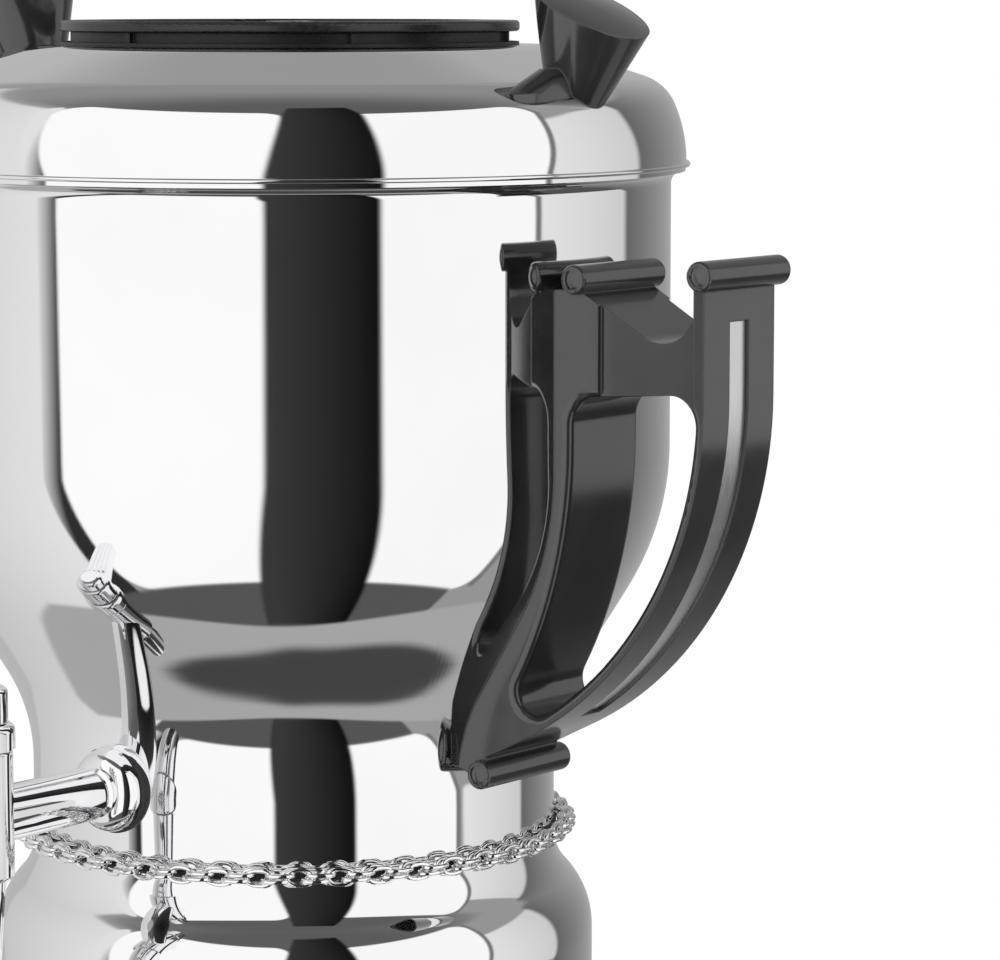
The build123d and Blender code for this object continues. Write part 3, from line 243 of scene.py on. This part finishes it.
def grainedFinish(name):
    # one noise carries the tone, the gloss and the fine relief
    settings = grainSettings[name]
    material, tree, shader = newMaterial(name)
    grain = noiseFrom(tree, objectCoords(tree, settings.get("stretch", (1, 1, 1))), *settings["grain"])
    tint = tintBetween(tree, grain, settings["dark"], settings["pale"])
    dress(tree, shader, tint, spread(tree, grain, *settings["rough"]))
    shader.inputs["Metallic"].default_value = settings.get("metallic", 0.0)
    shader.inputs["Coat Weight"].default_value = settings.get("coat", 0.0)
    if "relief" in settings:
        edge = softEdge(tree, settings["edge"]) if "edge" in settings else None
        tree.links.new(bumpFrom(tree, grain, *settings["relief"], edge), shader.inputs["Normal"])
    return material


finishes = {
    "polished_steel": polishedSteel("polishedSteel", polishSettings),
    "satin_steel": grainedFinish("satinSteel"),
    "chromed_metal": grainedFinish("platedChrome"),
    "plated_brass": grainedFinish("platedChrome"),
    "bare_brass": grainedFinish("machinedBrass"),
    "aluminium_plate": grainedFinish("castAluminium"),
    "silicone": grainedFinish("paleSilicone"),
    "black_rubber": grainedFinish("blackRubber"),
    "black_plastic": grainedFinish("blackMoulding"),
    "gloss_black": blackPhenolic("blackPhenolic", phenolicSettings),
    "black_satin": grainedFinish("satinBlack"),
    "white_plastic": grainedFinish("whiteMoulding"),
    "red_lens": grainedFinish("redLens"),
    "green_lens": grainedFinish("greenLens"),
}
slotOf = {part["node"]: part["material_slot"] for part in frame["record"]["subparts"]}
for nodeName, nodeObject in nodes.items():
    nodeObject.data.materials.clear()
    nodeObject.data.materials.append(finishes[slotOf[nodeName]])
# the steam collar gets the darker black, which is painted shade on its barrel
nodes["steam_collar"].data.materials[0] = grainedFinish("collarPaintedShade")
brushedStrip = grainedFinish("brushedStrip")
for nodeName in nodes:
    if "inlay" in nodeName:
        nodes[nodeName].data.materials[0] = brushedStrip
print("finishes given to", len(nodes), "nodes")


# Pieces turned on the lathe. Sections are in mm from the body's axis: radius and height.

lathe = {
    "straightStep": 4,  # mm between points
    "curveStep": 1.5,  # degrees between points
    "fewestOnCurve": 4,
    "facets": 288,
    "onAxis": 0.001,  # mm
    "sharp": 32,  # degrees
    "weld": 1e-7,
}


def walk(start, heading, steps):
    # heading in degrees, 0 outwards and 90 up
    # a step goes straight on, or round a curve of that radius with left turns positive
    points = [start]
    across, height = start
    for kind, size, *turn in steps:
        along = math.radians(heading)
        if kind == "go":
            count = max(1, round(size / lathe["straightStep"]))
            for i in range(1, count + 1):
                gone = size * i / count
                points.append((across + math.cos(along) * gone, height + math.sin(along) * gone))
        else:
            reach = size if turn[0] > 0 else -size
            middle = across - reach * math.sin(along), height + reach * math.cos(along)
            count = max(lathe["fewestOnCurve"], round(abs(turn[0]) / lathe["curveStep"]))
            for i in range(1, count + 1):
                angle = math.radians(heading + turn[0] * i / count)
                points.append((middle[0] + reach * math.sin(angle), middle[1] - reach * math.cos(angle)))
            heading += turn[0]
        across, height = points[-1]
    return points


def ovalSection(middle, halfWide, halfTall, facets):
    section = []
    for i in range(facets + 1):
        angle = 2 * math.pi * i / facets
        section.append((middle[0] + halfWide * math.cos(angle), middle[1] + halfTall * math.sin(angle)))
    return section


def evenAngles(count):
    return [360 * i / count for i in range(count)]


def turnedMesh(name, sections, angles=None, leaveOut=None, sharp=lathe["sharp"]):
    # spins sections round the axis; leaveOut says which faces an opening takes away
    angles = angles or evenAngles(lathe["facets"])
    count = len(angles)
    mesh = bpy.data.meshes.new(name)
    work = bmesh.new()
    for section in sections:
        rings = []
        for across, height in section:
            if across < lathe["onAxis"]:
                rings.append([work.verts.new((0, 0, height * mm))] * count)
                continue
            rings.append([])
            for angle in angles:
                x = across * mm * math.cos(math.radians(angle))
                y = across * mm * math.sin(math.radians(angle))
                rings[-1].append(work.verts.new((x, y, height * mm)))
        for k in range(len(rings) - 1):
            between = (section[k][1] + section[k + 1][1]) / 2
            for i in range(count):
                j = (i + 1) % count
                facing = angles[i] + (angles[j] - angles[i]) % 360 / 2
                if leaveOut and leaveOut(facing, between):
                    continue
                corners = []
                for vert in (rings[k][i], rings[k][j], rings[k + 1][j], rings[k + 1][i]):
                    if vert not in corners:
                        corners.append(vert)
                work.faces.new(corners)
    bmesh.ops.remove_doubles(work, verts=work.verts, dist=lathe["weld"])
    bmesh.ops.recalc_face_normals(work, faces=work.faces)
    for face in work.faces:
        face.smooth = True
    for edge in work.edges:
        if len(edge.link_faces) == 2 and edge.calc_face_angle(0) > math.radians(sharp):
            edge.smooth = False
    work.to_mesh(mesh)
    work.free()
    return mesh


def addPiece(mesh, body, slotName, *stoodFor):
    piece = placeObject(mesh.name, mesh)
    mesh.materials.append(finishes[slotName])
    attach(piece, body)
    if stoodFor:
        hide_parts(*stoodFor)
    return piece


tankShape = {
    "drum": 95.0,
    "wall": 1.0,
    "top": 290.974,
    "lipOut": 98.6,
    "lipCurl": 3.2,
    "side": 65.1,
    "bowlCurve": 68.8,
    "bowlSlope": 31.0,
    "dipCurve": 428.23,
    "dipTurn": 1.6,
    "neckCurve": 46.0,
    "neckDrop": 17.721,
    "floorUnder": 128.0,
    "floorTop": 129.5,
    "floorRise": 5,  # from the seam up to the floor's edge
}


def makeTank(shape):
    # one sheet from the curled lip down to the seam, with the dished floor let into the neck
    def side(wall, drop):
        steps = [
            ("round", shape["lipCurl"] + wall, 90),
            ("go", shape["side"]),
            ("round", shape["bowlCurve"] - wall, -shape["bowlSlope"]),
            ("round", shape["dipCurve"] - wall, -shape["dipTurn"]),
            ("round", shape["dipCurve"] + wall, shape["dipTurn"]),
            ("round", shape["neckCurve"] + wall, shape["bowlSlope"]),
            ("go", drop),
        ]
        start = (shape["drum"] + shape["lipCurl"], shape["top"] - shape["wall"] + wall)
        return walk(start, 180, steps)

    outside = side(0, shape["neckDrop"])
    inside = side(shape["wall"], shape["neckDrop"] - shape["floorRise"])
    lip = [(shape["lipOut"], shape["top"]), (shape["lipOut"], shape["top"] - shape["wall"])]
    inner = inside[-1][0]
    foot = [(inner, outside[-1][1]), (inner, shape["floorUnder"]), (0, shape["floorUnder"])]
    dish = [(0, shape["floorTop"]), inside[-1]]
    mesh = turnedMesh("tankSheet", [inside[::-1] + lip + outside + foot, dish])
    return addPiece(mesh, "base", "polished_steel", "water_tank")


lidShape = {
    "out": 98.8,
    "wall": 1.0,
    "edge": 290.974,
    "rim": 1.0,
    "sideCurve": 36.9,
    "sideTurn": 22.7,
    "shoulderCurve": 12.4,
    "shoulderTurn": 49.1,
    "slopeLong": 24.605,
    "slopeInside": 24.445,
    "seat": 320.894,
    "hole": 48.0,
    "bead": 0.6,
    "beadOut": 0.4,
    "beadFacets": 16,
}


def makeLid(shape):
    # domed cap with a thin bead rolled round its lower edge
    def cap(wall, slope):
        start = (shape["out"] - wall, shape["edge"])
        steps = [
            ("go", shape["rim"]),
            ("round", shape["sideCurve"] - wall, shape["sideTurn"]),
            ("round", shape["shoulderCurve"] - wall, shape["shoulderTurn"]),
            ("go", slope),
        ]
        return walk(start, 90, steps)

    outside = cap(0, shape["slopeLong"])
    inside = cap(shape["wall"], shape["slopeInside"])
    flat = [(shape["hole"], shape["seat"]), (shape["hole"], shape["seat"] - shape["wall"])]
    beadMiddle = shape["out"] + shape["beadOut"], shape["edge"] + shape["bead"]
    bead = ovalSection(beadMiddle, shape["bead"], shape["bead"], shape["beadFacets"])
    mesh = turnedMesh("lidCap", [outside + flat + inside[::-1] + [outside[0]], bead])
    return addPiece(mesh, "lid", "polished_steel", "lid")


casingShape = {
    "neck": 66.0,
    "seam": 124.5,
    "collar": 64.7,
    "collarTop": 127.6,
    "waistTop": 122.5,
    "waistCurve": 15.3,
    "waistTurn": 42.9,
    "shoulder": 21.3,
    "sideRadius": 75.8,
    "sideHeights": [94.3, 86.0, 77.7, 70.3, 60.0, 49.7, 45.0],
    "skirtIn": 18.0,
    "skirtOut": 8.0,
    "skirtReach": 14.2,
    "skirtDrop": 6.832,
    "wall": 1.0,
    "back": 90,  # bearing of the openings
    "openings": [{"half": 10.874, "low": 49.7, "high": 70.3}, {"half": 8.573, "low": 77.7, "high": 94.3}],
}


def makeCasing(shape):
    # pressed skirt of the base, with the mouths of the inlet and the switch left open at the back
    neck, seam, back = shape["neck"], shape["seam"], shape["back"]
    collar = [(shape["collar"], shape["collarTop"]), (shape["collar"], seam), (neck, seam)]
    turn = shape["waistTurn"]
    waist = [("round", shape["waistCurve"], turn), ("round", shape["shoulder"], -turn)]
    top = walk((neck, shape["waistTop"]), -90, waist)
    side = [(shape["sideRadius"], height) for height in shape["sideHeights"]]
    turn = math.degrees(math.acos(1 - shape["skirtReach"] / (shape["skirtIn"] + shape["skirtOut"])))
    skirt = [
        ("round", shape["skirtIn"], turn),
        ("round", shape["skirtOut"], -turn),
        ("go", shape["skirtDrop"]),
    ]
    foot = walk(side[-1], -90, skirt)
    angles = evenAngles(lathe["facets"])
    for opening in shape["openings"]:
        angles += [back - opening["half"], back + opening["half"]]

    def leaveOut(facing, height):
        for opening in shape["openings"]:
            if abs(facing - back) < opening["half"] and opening["low"] < height < opening["high"]:
                return True
        return False

    mesh = turnedMesh("casingSheet", [collar + top + side + foot[1:]], sorted(angles), leaveOut)
    casing = addPiece(mesh, "base", "polished_steel", "base_casing")
    sheet = casing.modifiers.new("sheetThickness", "SOLIDIFY")
    sheet.thickness = shape["wall"] * mm
    sheet.offset = -1  # inwards
    return casing


chainShape = {
    "radius": 69.1,
    "height": 125.0,
    "pairs": 45,
    "long": 7.5,
    "wide": 5.0,
    "wire": 0.62,
    "apart": 0.7,
    "slip": 0.55,
    "fullness": (0.85, 0.9),  # along and across the link: below 1 is squarer than an oval
    "sways": ((7, 2.4), (5, 0.7)),  # degrees of roll, and the pace along the chain
    "facets": (28, 8),  # round the link, and round its wire
}


def fuller(value, power):
    return math.copysign(abs(value) ** power, value)


def addWireLoop(work, shape, place):
    # one closed oval of round wire, long along X and wide along Y
    around, across = shape["facets"]
    halfLong = shape["long"] / 2 - shape["wire"]
    halfWide = shape["wide"] / 2 - shape["wire"]
    rings = []
    for i in range(around):
        t = 2 * math.pi * i / around
        x = halfLong * fuller(math.cos(t), shape["fullness"][0])
        y = halfWide * fuller(math.sin(t), shape["fullness"][1])
        out = Vector((math.cos(t) * halfWide, math.sin(t) * halfLong, 0)).normalized()
        rings.append([])
        for k in range(across):
            s = 2 * math.pi * k / across
            point = Vector((x, y, 0)) + (out * math.cos(s) + Vector((0, 0, math.sin(s)))) * shape["wire"]
            rings[-1].append(work.verts.new(place @ (point * mm)))
    for i in range(around):
        for k in range(across):
            first, second = rings[i], rings[(i + 1) % around]
            face = work.faces.new((first[k], second[k], second[(k + 1) % across], first[(k + 1) % across]))
            face.smooth = True


def makeChain(shape):
    # doubled oval links, each pair threaded through the next a quarter turn on, lying round the seam
    mesh = bpy.data.meshes.new("waistChainLinks")
    work = bmesh.new()
    count = shape["pairs"] * 2
    quarter = math.pi / 2
    place = Matrix.Translation((shape["radius"] * mm, 0, shape["height"] * mm))
    for i in range(count):
        bearing = 2 * math.pi * i / count
        lie = Matrix.Rotation(bearing, 4, "Z") @ place @ Matrix.Rotation(quarter, 4, "Z")
        sway = sum(math.radians(size) * math.sin(i * pace) for size, pace in shape["sways"])
        roll = (quarter if i % 2 == 0 else 0) + sway
        for side in (-1, 1):
            step = Matrix.Translation((side * shape["slip"] * mm, 0, side * shape["apart"] * mm))
            addWireLoop(work, shape, lie @ Matrix.Rotation(roll, 4, "X") @ step)
    bmesh.ops.recalc_face_normals(work, faces=work.faces)
    work.to_mesh(mesh)
    work.free()
    return addPiece(mesh, "base", "chromed_metal", "waist_chain")


roseShape = {
    "axis": 143.0,
    "neck": 66.0,
    "sealBack": -1.0,
    "sealFront": 1.0,
    "sealOut": 10.75,
    "sealRound": 0.5,
    "out": 10.2,
    "inset": 0.3,
    "edgeTall": 0.5,
    "front": 6.2,
    "bore": 5.0,
    "crown": 5.2,
    "domeSteps": 12,
    "facets": 72,
}


def makeTapRose(shape):
    # black seal against the neck and the domed rose over it, turned and then laid on the tap's axis
    bore, sealFront, edgeRound = shape["bore"], shape["sealFront"], shape["sealRound"]
    seal = [(bore, shape["sealBack"]), (bore, sealFront)]
    seal += walk((shape["sealOut"] - edgeRound, sealFront), 0, [("round", edgeRound, -90)])
    seal += [(shape["sealOut"], shape["sealBack"]), seal[0]]
    rise = shape["front"] - sealFront - shape["edgeTall"]
    dome = [(bore, sealFront), (shape["out"] - shape["inset"], sealFront)]
    for i in range(shape["domeSteps"] + 1):
        angle = math.pi / 2 * i / shape["domeSteps"]
        across = shape["crown"] + (shape["out"] - shape["crown"]) * math.cos(angle)
        dome.append((across, sealFront + shape["edgeTall"] + rise * math.sin(angle)))
    dome += [(bore, shape["front"]), dome[0]]
    place = Matrix.Translation((0, -shape["neck"] * mm, shape["axis"] * mm))
    lay = place @ Matrix.Rotation(math.pi / 2, 4, "X")
    for name, section, slotName, node in (
        ("tapSeal", seal, "black_rubber", "tap_gasket"),
        ("tapRose", dome, "chromed_metal", "tap_rosette"),
    ):
        mesh = turnedMesh(name, [section], evenAngles(shape["facets"]))
        mesh.transform(lay)
        addPiece(mesh, "base", slotName, node)


# a black ring that is painted shade in the seam behind the chain
seamShadeShape = {"radius": 66.1, "height": 124.6, "thick": 0.55, "tall": 1.3, "facets": 12, "sharp": 80}


def makeSeamShadeRing(shape):
    # thin black ring in the seam behind the chain, painted shade: it stands in for the dark of the seam, so
    # that the holes of the links read dark
    ring = ovalSection((shape["radius"], shape["height"]), shape["thick"], shape["tall"], shape["facets"])
    addPiece(turnedMesh("seamShadeRing", [ring], sharp=shape["sharp"]), "base", "black_rubber")


makeTapRose(roseShape)
makeSeamShadeRing(seamShadeShape)
makeTank(tankShape)
makeLid(lidShape)
makeCasing(casingShape)
makeChain(chainShape)
print("tap rose, seam shade ring, tank, lid, casing and chain made")


cameraSettings = {
    "bearing": 41.5,  # degrees from the tap side towards the right handle
    "distance": 979.1 * mm,
    "height": 333.3 * mm,
    "turn": 0.05344,  # radians to the right of the body's axis
    "dip": 7.091,  # degrees below the level
    "lens": 140.51,
    "sensor": 36,
}


def makeCamera(settings):
    bearing = math.radians(settings["bearing"])
    dip, turn = math.radians(settings["dip"]), settings["turn"]
    side = Vector((math.cos(bearing), math.sin(bearing), 0))
    inward = Vector((-math.sin(bearing), math.cos(bearing), 0))
    ahead = (inward * math.cos(turn) + side * math.sin(turn)) * math.cos(dip) - Vector((0, 0, math.sin(dip)))
    right = side * math.cos(turn) - inward * math.sin(turn)
    up = right.cross(ahead)
    data = bpy.data.cameras.new("studioCamera")
    data.lens = settings["lens"]
    data.sensor_width = settings["sensor"]
    camera = placeObject("studioCamera", data)
    camera.matrix_world = Matrix((right, up, -ahead)).transposed().to_4x4()
    camera.location = -inward * settings["distance"] + Vector((0, 0, settings["height"]))
    scene.camera = camera
    return camera


makeCamera(cameraSettings)

# Softboxes, walls and flags of the light tent, in degrees.
# Bearings run from the camera's own, positive to its right.
tentSettings = {
    "radius": 12.0,
    "height": 0.2,
    "ceilingBack": 0.29,
    "ceilingFront": 0.12,
    "ceilingFrom": 44,
    "ceilingBlur": 6,
    "frontSpread": 1.2,
    "wall": 0.34,
    "stand": 0.42,
    "standEdge": (-67, 21),  # where the stand ends at the camera, and how far that rises round the side
    "standBlur": 2,
    "shade": 0.06,
    "shadeEdge": (-72.3, 13),
    "shadeBlur": 1.1,
    "shadePower": 1.25,
    "edgeLag": 3,
    "edgeMost": 1.25,
    "columns": 540,
    "fineRows": 120,  # closer rows round the foot
    "fineTo": -60,
    "coarseRows": 225,
    "panels": [
        {"name": "backdrop", "from": 170, "to": 214, "low": -60, "high": 30, "level": 0.5, "edge": 14},
        {
            "name": "leftWall",
            "from": -150,
            "to": -72,
            "low": -70,
            "high": 40,
            "level": 0.6,
            "end": 0.86,
            "edge": 4,
        },
        {"name": "lowWall", "from": 84, "to": 150, "low": -50, "high": -12, "level": 0.09, "edge": 5},
        {
            "name": "leftGap",
            "from": -80,
            "to": -72.3,
            "lean": (-0.24, -0.24),
            "low": -56,
            "high": 44,
            "level": 0.84,
            "end": 0.03,
            "edge": 1,
            "corner": 6,
        },
        {
            "name": "leftBox",
            "from": -73,
            "to": -3,
            "lean": (-0.24, 0),
            "low": -46,
            "high": 49,
            "level": 1.08,
            "edge": 1.2,
            "corner": 9,
        },
        {
            "name": "rightWall",
            "from": 78,
            "to": 119,
            "low": -14,
            "high": 28,
            "level": 0.86,
            "end": 0.66,
            "edge": 2,
            "corner": 3,
        },
        {
            "name": "farWall",
            "from": 118,
            "to": 184,
            "low": -60,
            "high": 30,
            "level": 0.14,
            "end": 0.52,
            "edge": 4,
        },
        {
            "name": "rightGap",
            "from": 76.6,
            "to": 79.2,
            "lean": (0.2, 0.2),
            "low": -44,
            "high": 44,
            "level": 0.2,
            "edge": 1,
        },
        {
            "name": "rightBox",
            "from": 20,
            "to": 77,
            "lean": (0, 0.2),
            "low": -46,
            "high": 46,
            "level": 1.06,
            "edge": 1.2,
            "corner": 7,
        },
        {"name": "lowBand", "from": -76, "to": 62, "low": -68, "high": -46, "level": 0.10, "edge": 2},
        {
            "name": "cameraGap",
            "from": -7.6,
            "to": 26,
            "lean": (0.1, -0.03),
            "low": -66,
            "high": 61,
            "level": 0.045,
            "end": 0.006,
            "edge": 2.5,
        },
    ],
}


def ease(value):
    # runs softly from 0 to 1 as the value goes from -0.5 to 0.5
    t = min(max(value + 0.5, 0), 1)
    return t * t * (3 - 2 * t)


def partWay(first, second, part):
    return first + (second - first) * part


def panelCover(panel, around, above):
    # a rounded rectangle whose upright edges may lean
    lean = panel.get("lean", (0, 0))
    left = panel["from"] + lean[0] * above
    right = panel["to"] + lean[1] * above
    if right > 180 and around < right - 360 + panel["edge"]:
        around += 360
    corner = panel.get("corner", 1)
    across = abs(around - (left + right) / 2) - (right - left) / 2 + corner
    along = abs(above - (panel["low"] + panel["high"]) / 2) - (panel["high"] - panel["low"]) / 2 + corner
    outside = math.hypot(max(across, 0), max(along, 0)) + min(max(across, along), 0) - corner
    return ease(-outside / panel["edge"])


def tentLevel(settings, around, above):
    # brightness of the tent in one direction
    front = ease(math.cos(math.radians(around)) * math.cos(math.radians(above)) * settings["frontSpread"])
    ceiling = partWay(settings["ceilingBack"], settings["ceilingFront"], front)
    overhead = ease((above - settings["ceilingFrom"]) / settings["ceilingBlur"])
    level = partWay(settings["wall"], ceiling, overhead)
    for panel in settings["panels"]:
        cover = panelCover(panel, around, above)
        if cover > 0:
            part = min(max((around - panel["from"]) / (panel["to"] - panel["from"]), 0), 1)
            own = partWay(panel["level"], panel.get("end", panel["level"]), part)
            level = partWay(level, own, cover)
    turned = min(1 - math.cos(math.radians(around + settings["edgeLag"])), settings["edgeMost"])
    edge, rise = settings["standEdge"]
    level = partWay(level, settings["stand"], ease((edge + rise * turned - above) / settings["standBlur"]))
    edge, rise = settings["shadeEdge"]
    edge += rise * turned ** settings["shadePower"]
    return partWay(level, settings["shade"], ease((edge - above) / settings["shadeBlur"]))


def makeTent(settings):
    # a ball of soft panels that only shiny surfaces see
    mesh = bpy.data.meshes.new("lightTent")
    columns, fine, coarse, fineTo = [settings[key] for key in ("columns", "fineRows", "coarseRows", "fineTo")]
    heights = [-90 + (fineTo + 90) * row / fine for row in range(fine)]
    heights += [fineTo + (90 - fineTo) * row / coarse for row in range(coarse + 1)]
    points, faces, levels = [], [], []
    for above in heights:
        flat = math.cos(math.radians(above)) * settings["radius"]
        height = math.sin(math.radians(above)) * settings["radius"] + settings["height"]
        for column in range(columns):
            around = -180 + 360 * column / columns
            bearing = math.radians(around + cameraSettings["bearing"])
            points.append((flat * math.sin(bearing), -flat * math.cos(bearing), height))
            levels.append(tentLevel(settings, around, above))
    for row in range(fine + coarse):
        low, high = row * columns, (row + 1) * columns
        for column in range(columns):
            after = (column + 1) % columns
            faces.append((low + column, low + after, high + after, high + column))
    mesh.from_pydata(points, [], faces)
    glow = mesh.attributes.new("panelLevel", "FLOAT", "POINT")
    glow.data.foreach_set("value", levels)
    material = bpy.data.materials.new("tentGlow")
    material.use_nodes = True
    tree = material.node_tree
    tree.nodes.clear()
    reader = addNode(tree, "ShaderNodeAttribute", attribute_name="panelLevel")
    emission = addNode(tree, "ShaderNodeEmission")
    output = addNode(tree, "ShaderNodeOutputMaterial")
    tree.links.new(reader.outputs["Fac"], emission.inputs["Strength"])
    tree.links.new(emission.outputs["Emission"], output.inputs["Surface"])
    mesh.materials.append(material)
    tent = placeObject("lightTent", mesh)
    tent.visible_camera = False
    tent.visible_diffuse = False
    tent.visible_shadow = False
    return tent


floorSettings = {
    "half": 2.4,
    "colour": 0.86,
    "paler": 0.02,
    "grain": (40, 3),
    "rough": 0.9,
    "fade": (0.12, 0.34),  # metres from the middle to where it starts and ends going white
}


def makeFloor(settings):
    mesh = bpy.data.meshes.new("studioFloor")
    half = settings["half"]
    corners = [(-half, -half, 0), (half, -half, 0), (half, half, 0), (-half, half, 0)]
    mesh.from_pydata(corners, [], [(0, 1, 2, 3)])
    material, tree, shader = newMaterial("paleFloor")
    vector = objectCoords(tree)
    grain = noiseFrom(tree, vector, *settings["grain"])
    colour = settings["colour"]
    tint = tintBetween(tree, grain, (colour,) * 3, (colour + settings["paler"],) * 3)
    tree.links.new(tint, shader.inputs["Base Color"])
    shader.inputs["Roughness"].default_value = settings["rough"]
    length = addNode(tree, "ShaderNodeVectorMath", operation="LENGTH")
    tree.links.new(vector, length.inputs[0])
    far = spread(tree, length.outputs["Value"], 0, 1, settings["fade"])
    path = addNode(tree, "ShaderNodeLightPath")
    both = addNode(tree, "ShaderNodeMath", operation="MULTIPLY")
    tree.links.new(far, both.inputs[0])
    tree.links.new(path.outputs["Is Camera Ray"], both.inputs[1])
    white = addNode(tree, "ShaderNodeEmission", Strength=1.0)
    mix = addNode(tree, "ShaderNodeMixShader")
    output = tree.nodes["Material Output"]
    tree.links.new(both.outputs["Value"], mix.inputs["Fac"])
    tree.links.new(shader.outputs["BSDF"], mix.inputs[1])
    tree.links.new(white.outputs["Emission"], mix.inputs[2])
    tree.links.new(mix.outputs["Shader"], output.inputs["Surface"])
    mesh.materials.append(material)
    floor = placeObject("studioFloor", mesh)
    floor.visible_glossy = False
    return floor


worldSettings = {"seen": 1.0, "fill": 0.75}


def makeWorld(settings):
    world = bpy.data.worlds.new("studioWorld")
    scene.world = world
    world.use_nodes = True
    tree = world.node_tree
    background = tree.nodes["Background"]
    background.inputs["Color"].default_value = (1, 1, 1, 1)
    path = addNode(tree, "ShaderNodeLightPath")
    first = addNode(tree, "ShaderNodeMath", operation="MAXIMUM")
    second = addNode(tree, "ShaderNodeMath", operation="MAXIMUM")
    tree.links.new(path.outputs["Is Camera Ray"], first.inputs[0])
    tree.links.new(path.outputs["Is Glossy Ray"], first.inputs[1])
    tree.links.new(first.outputs["Value"], second.inputs[0])
    tree.links.new(path.outputs["Is Transmission Ray"], second.inputs[1])
    strength = spread(tree, second.outputs["Value"], settings["fill"], settings["seen"], (0, 1))
    tree.links.new(strength, background.inputs["Strength"])


lampAim = 0.2  # metres up the body's axis
lampSettings = [
    {"name": "leftSoftbox", "bearing": -42, "height": 1.1, "distance": 1.6, "width": 1.2, "power": 9},
    {"name": "rightSoftbox", "bearing": 52, "height": 1.0, "distance": 1.6, "width": 1.0, "power": 6},
    {"name": "topSoftbox", "bearing": 170, "height": 1.9, "distance": 0.5, "width": 1.2, "power": 5},
]


def makeLamps(lamps):
    for lamp in lamps:
        data = bpy.data.lights.new(lamp["name"], "AREA")
        data.shape = "SQUARE"
        data.size = lamp["width"]
        data.energy = lamp["power"]
        light = placeObject(lamp["name"], data)
        bearing, distance = math.radians(lamp["bearing"] + cameraSettings["bearing"]), lamp["distance"]
        light.location = (math.sin(bearing) * distance, -math.cos(bearing) * distance, lamp["height"])
        light.rotation_euler = (Vector((0, 0, lampAim)) - light.location).to_track_quat("-Z", "Y").to_euler()
        light.visible_glossy = False


makeTent(tentSettings)
makeFloor(floorSettings)
makeWorld(worldSettings)
makeLamps(lampSettings)
scene.view_settings.view_transform = "Standard"
print("studio ready")
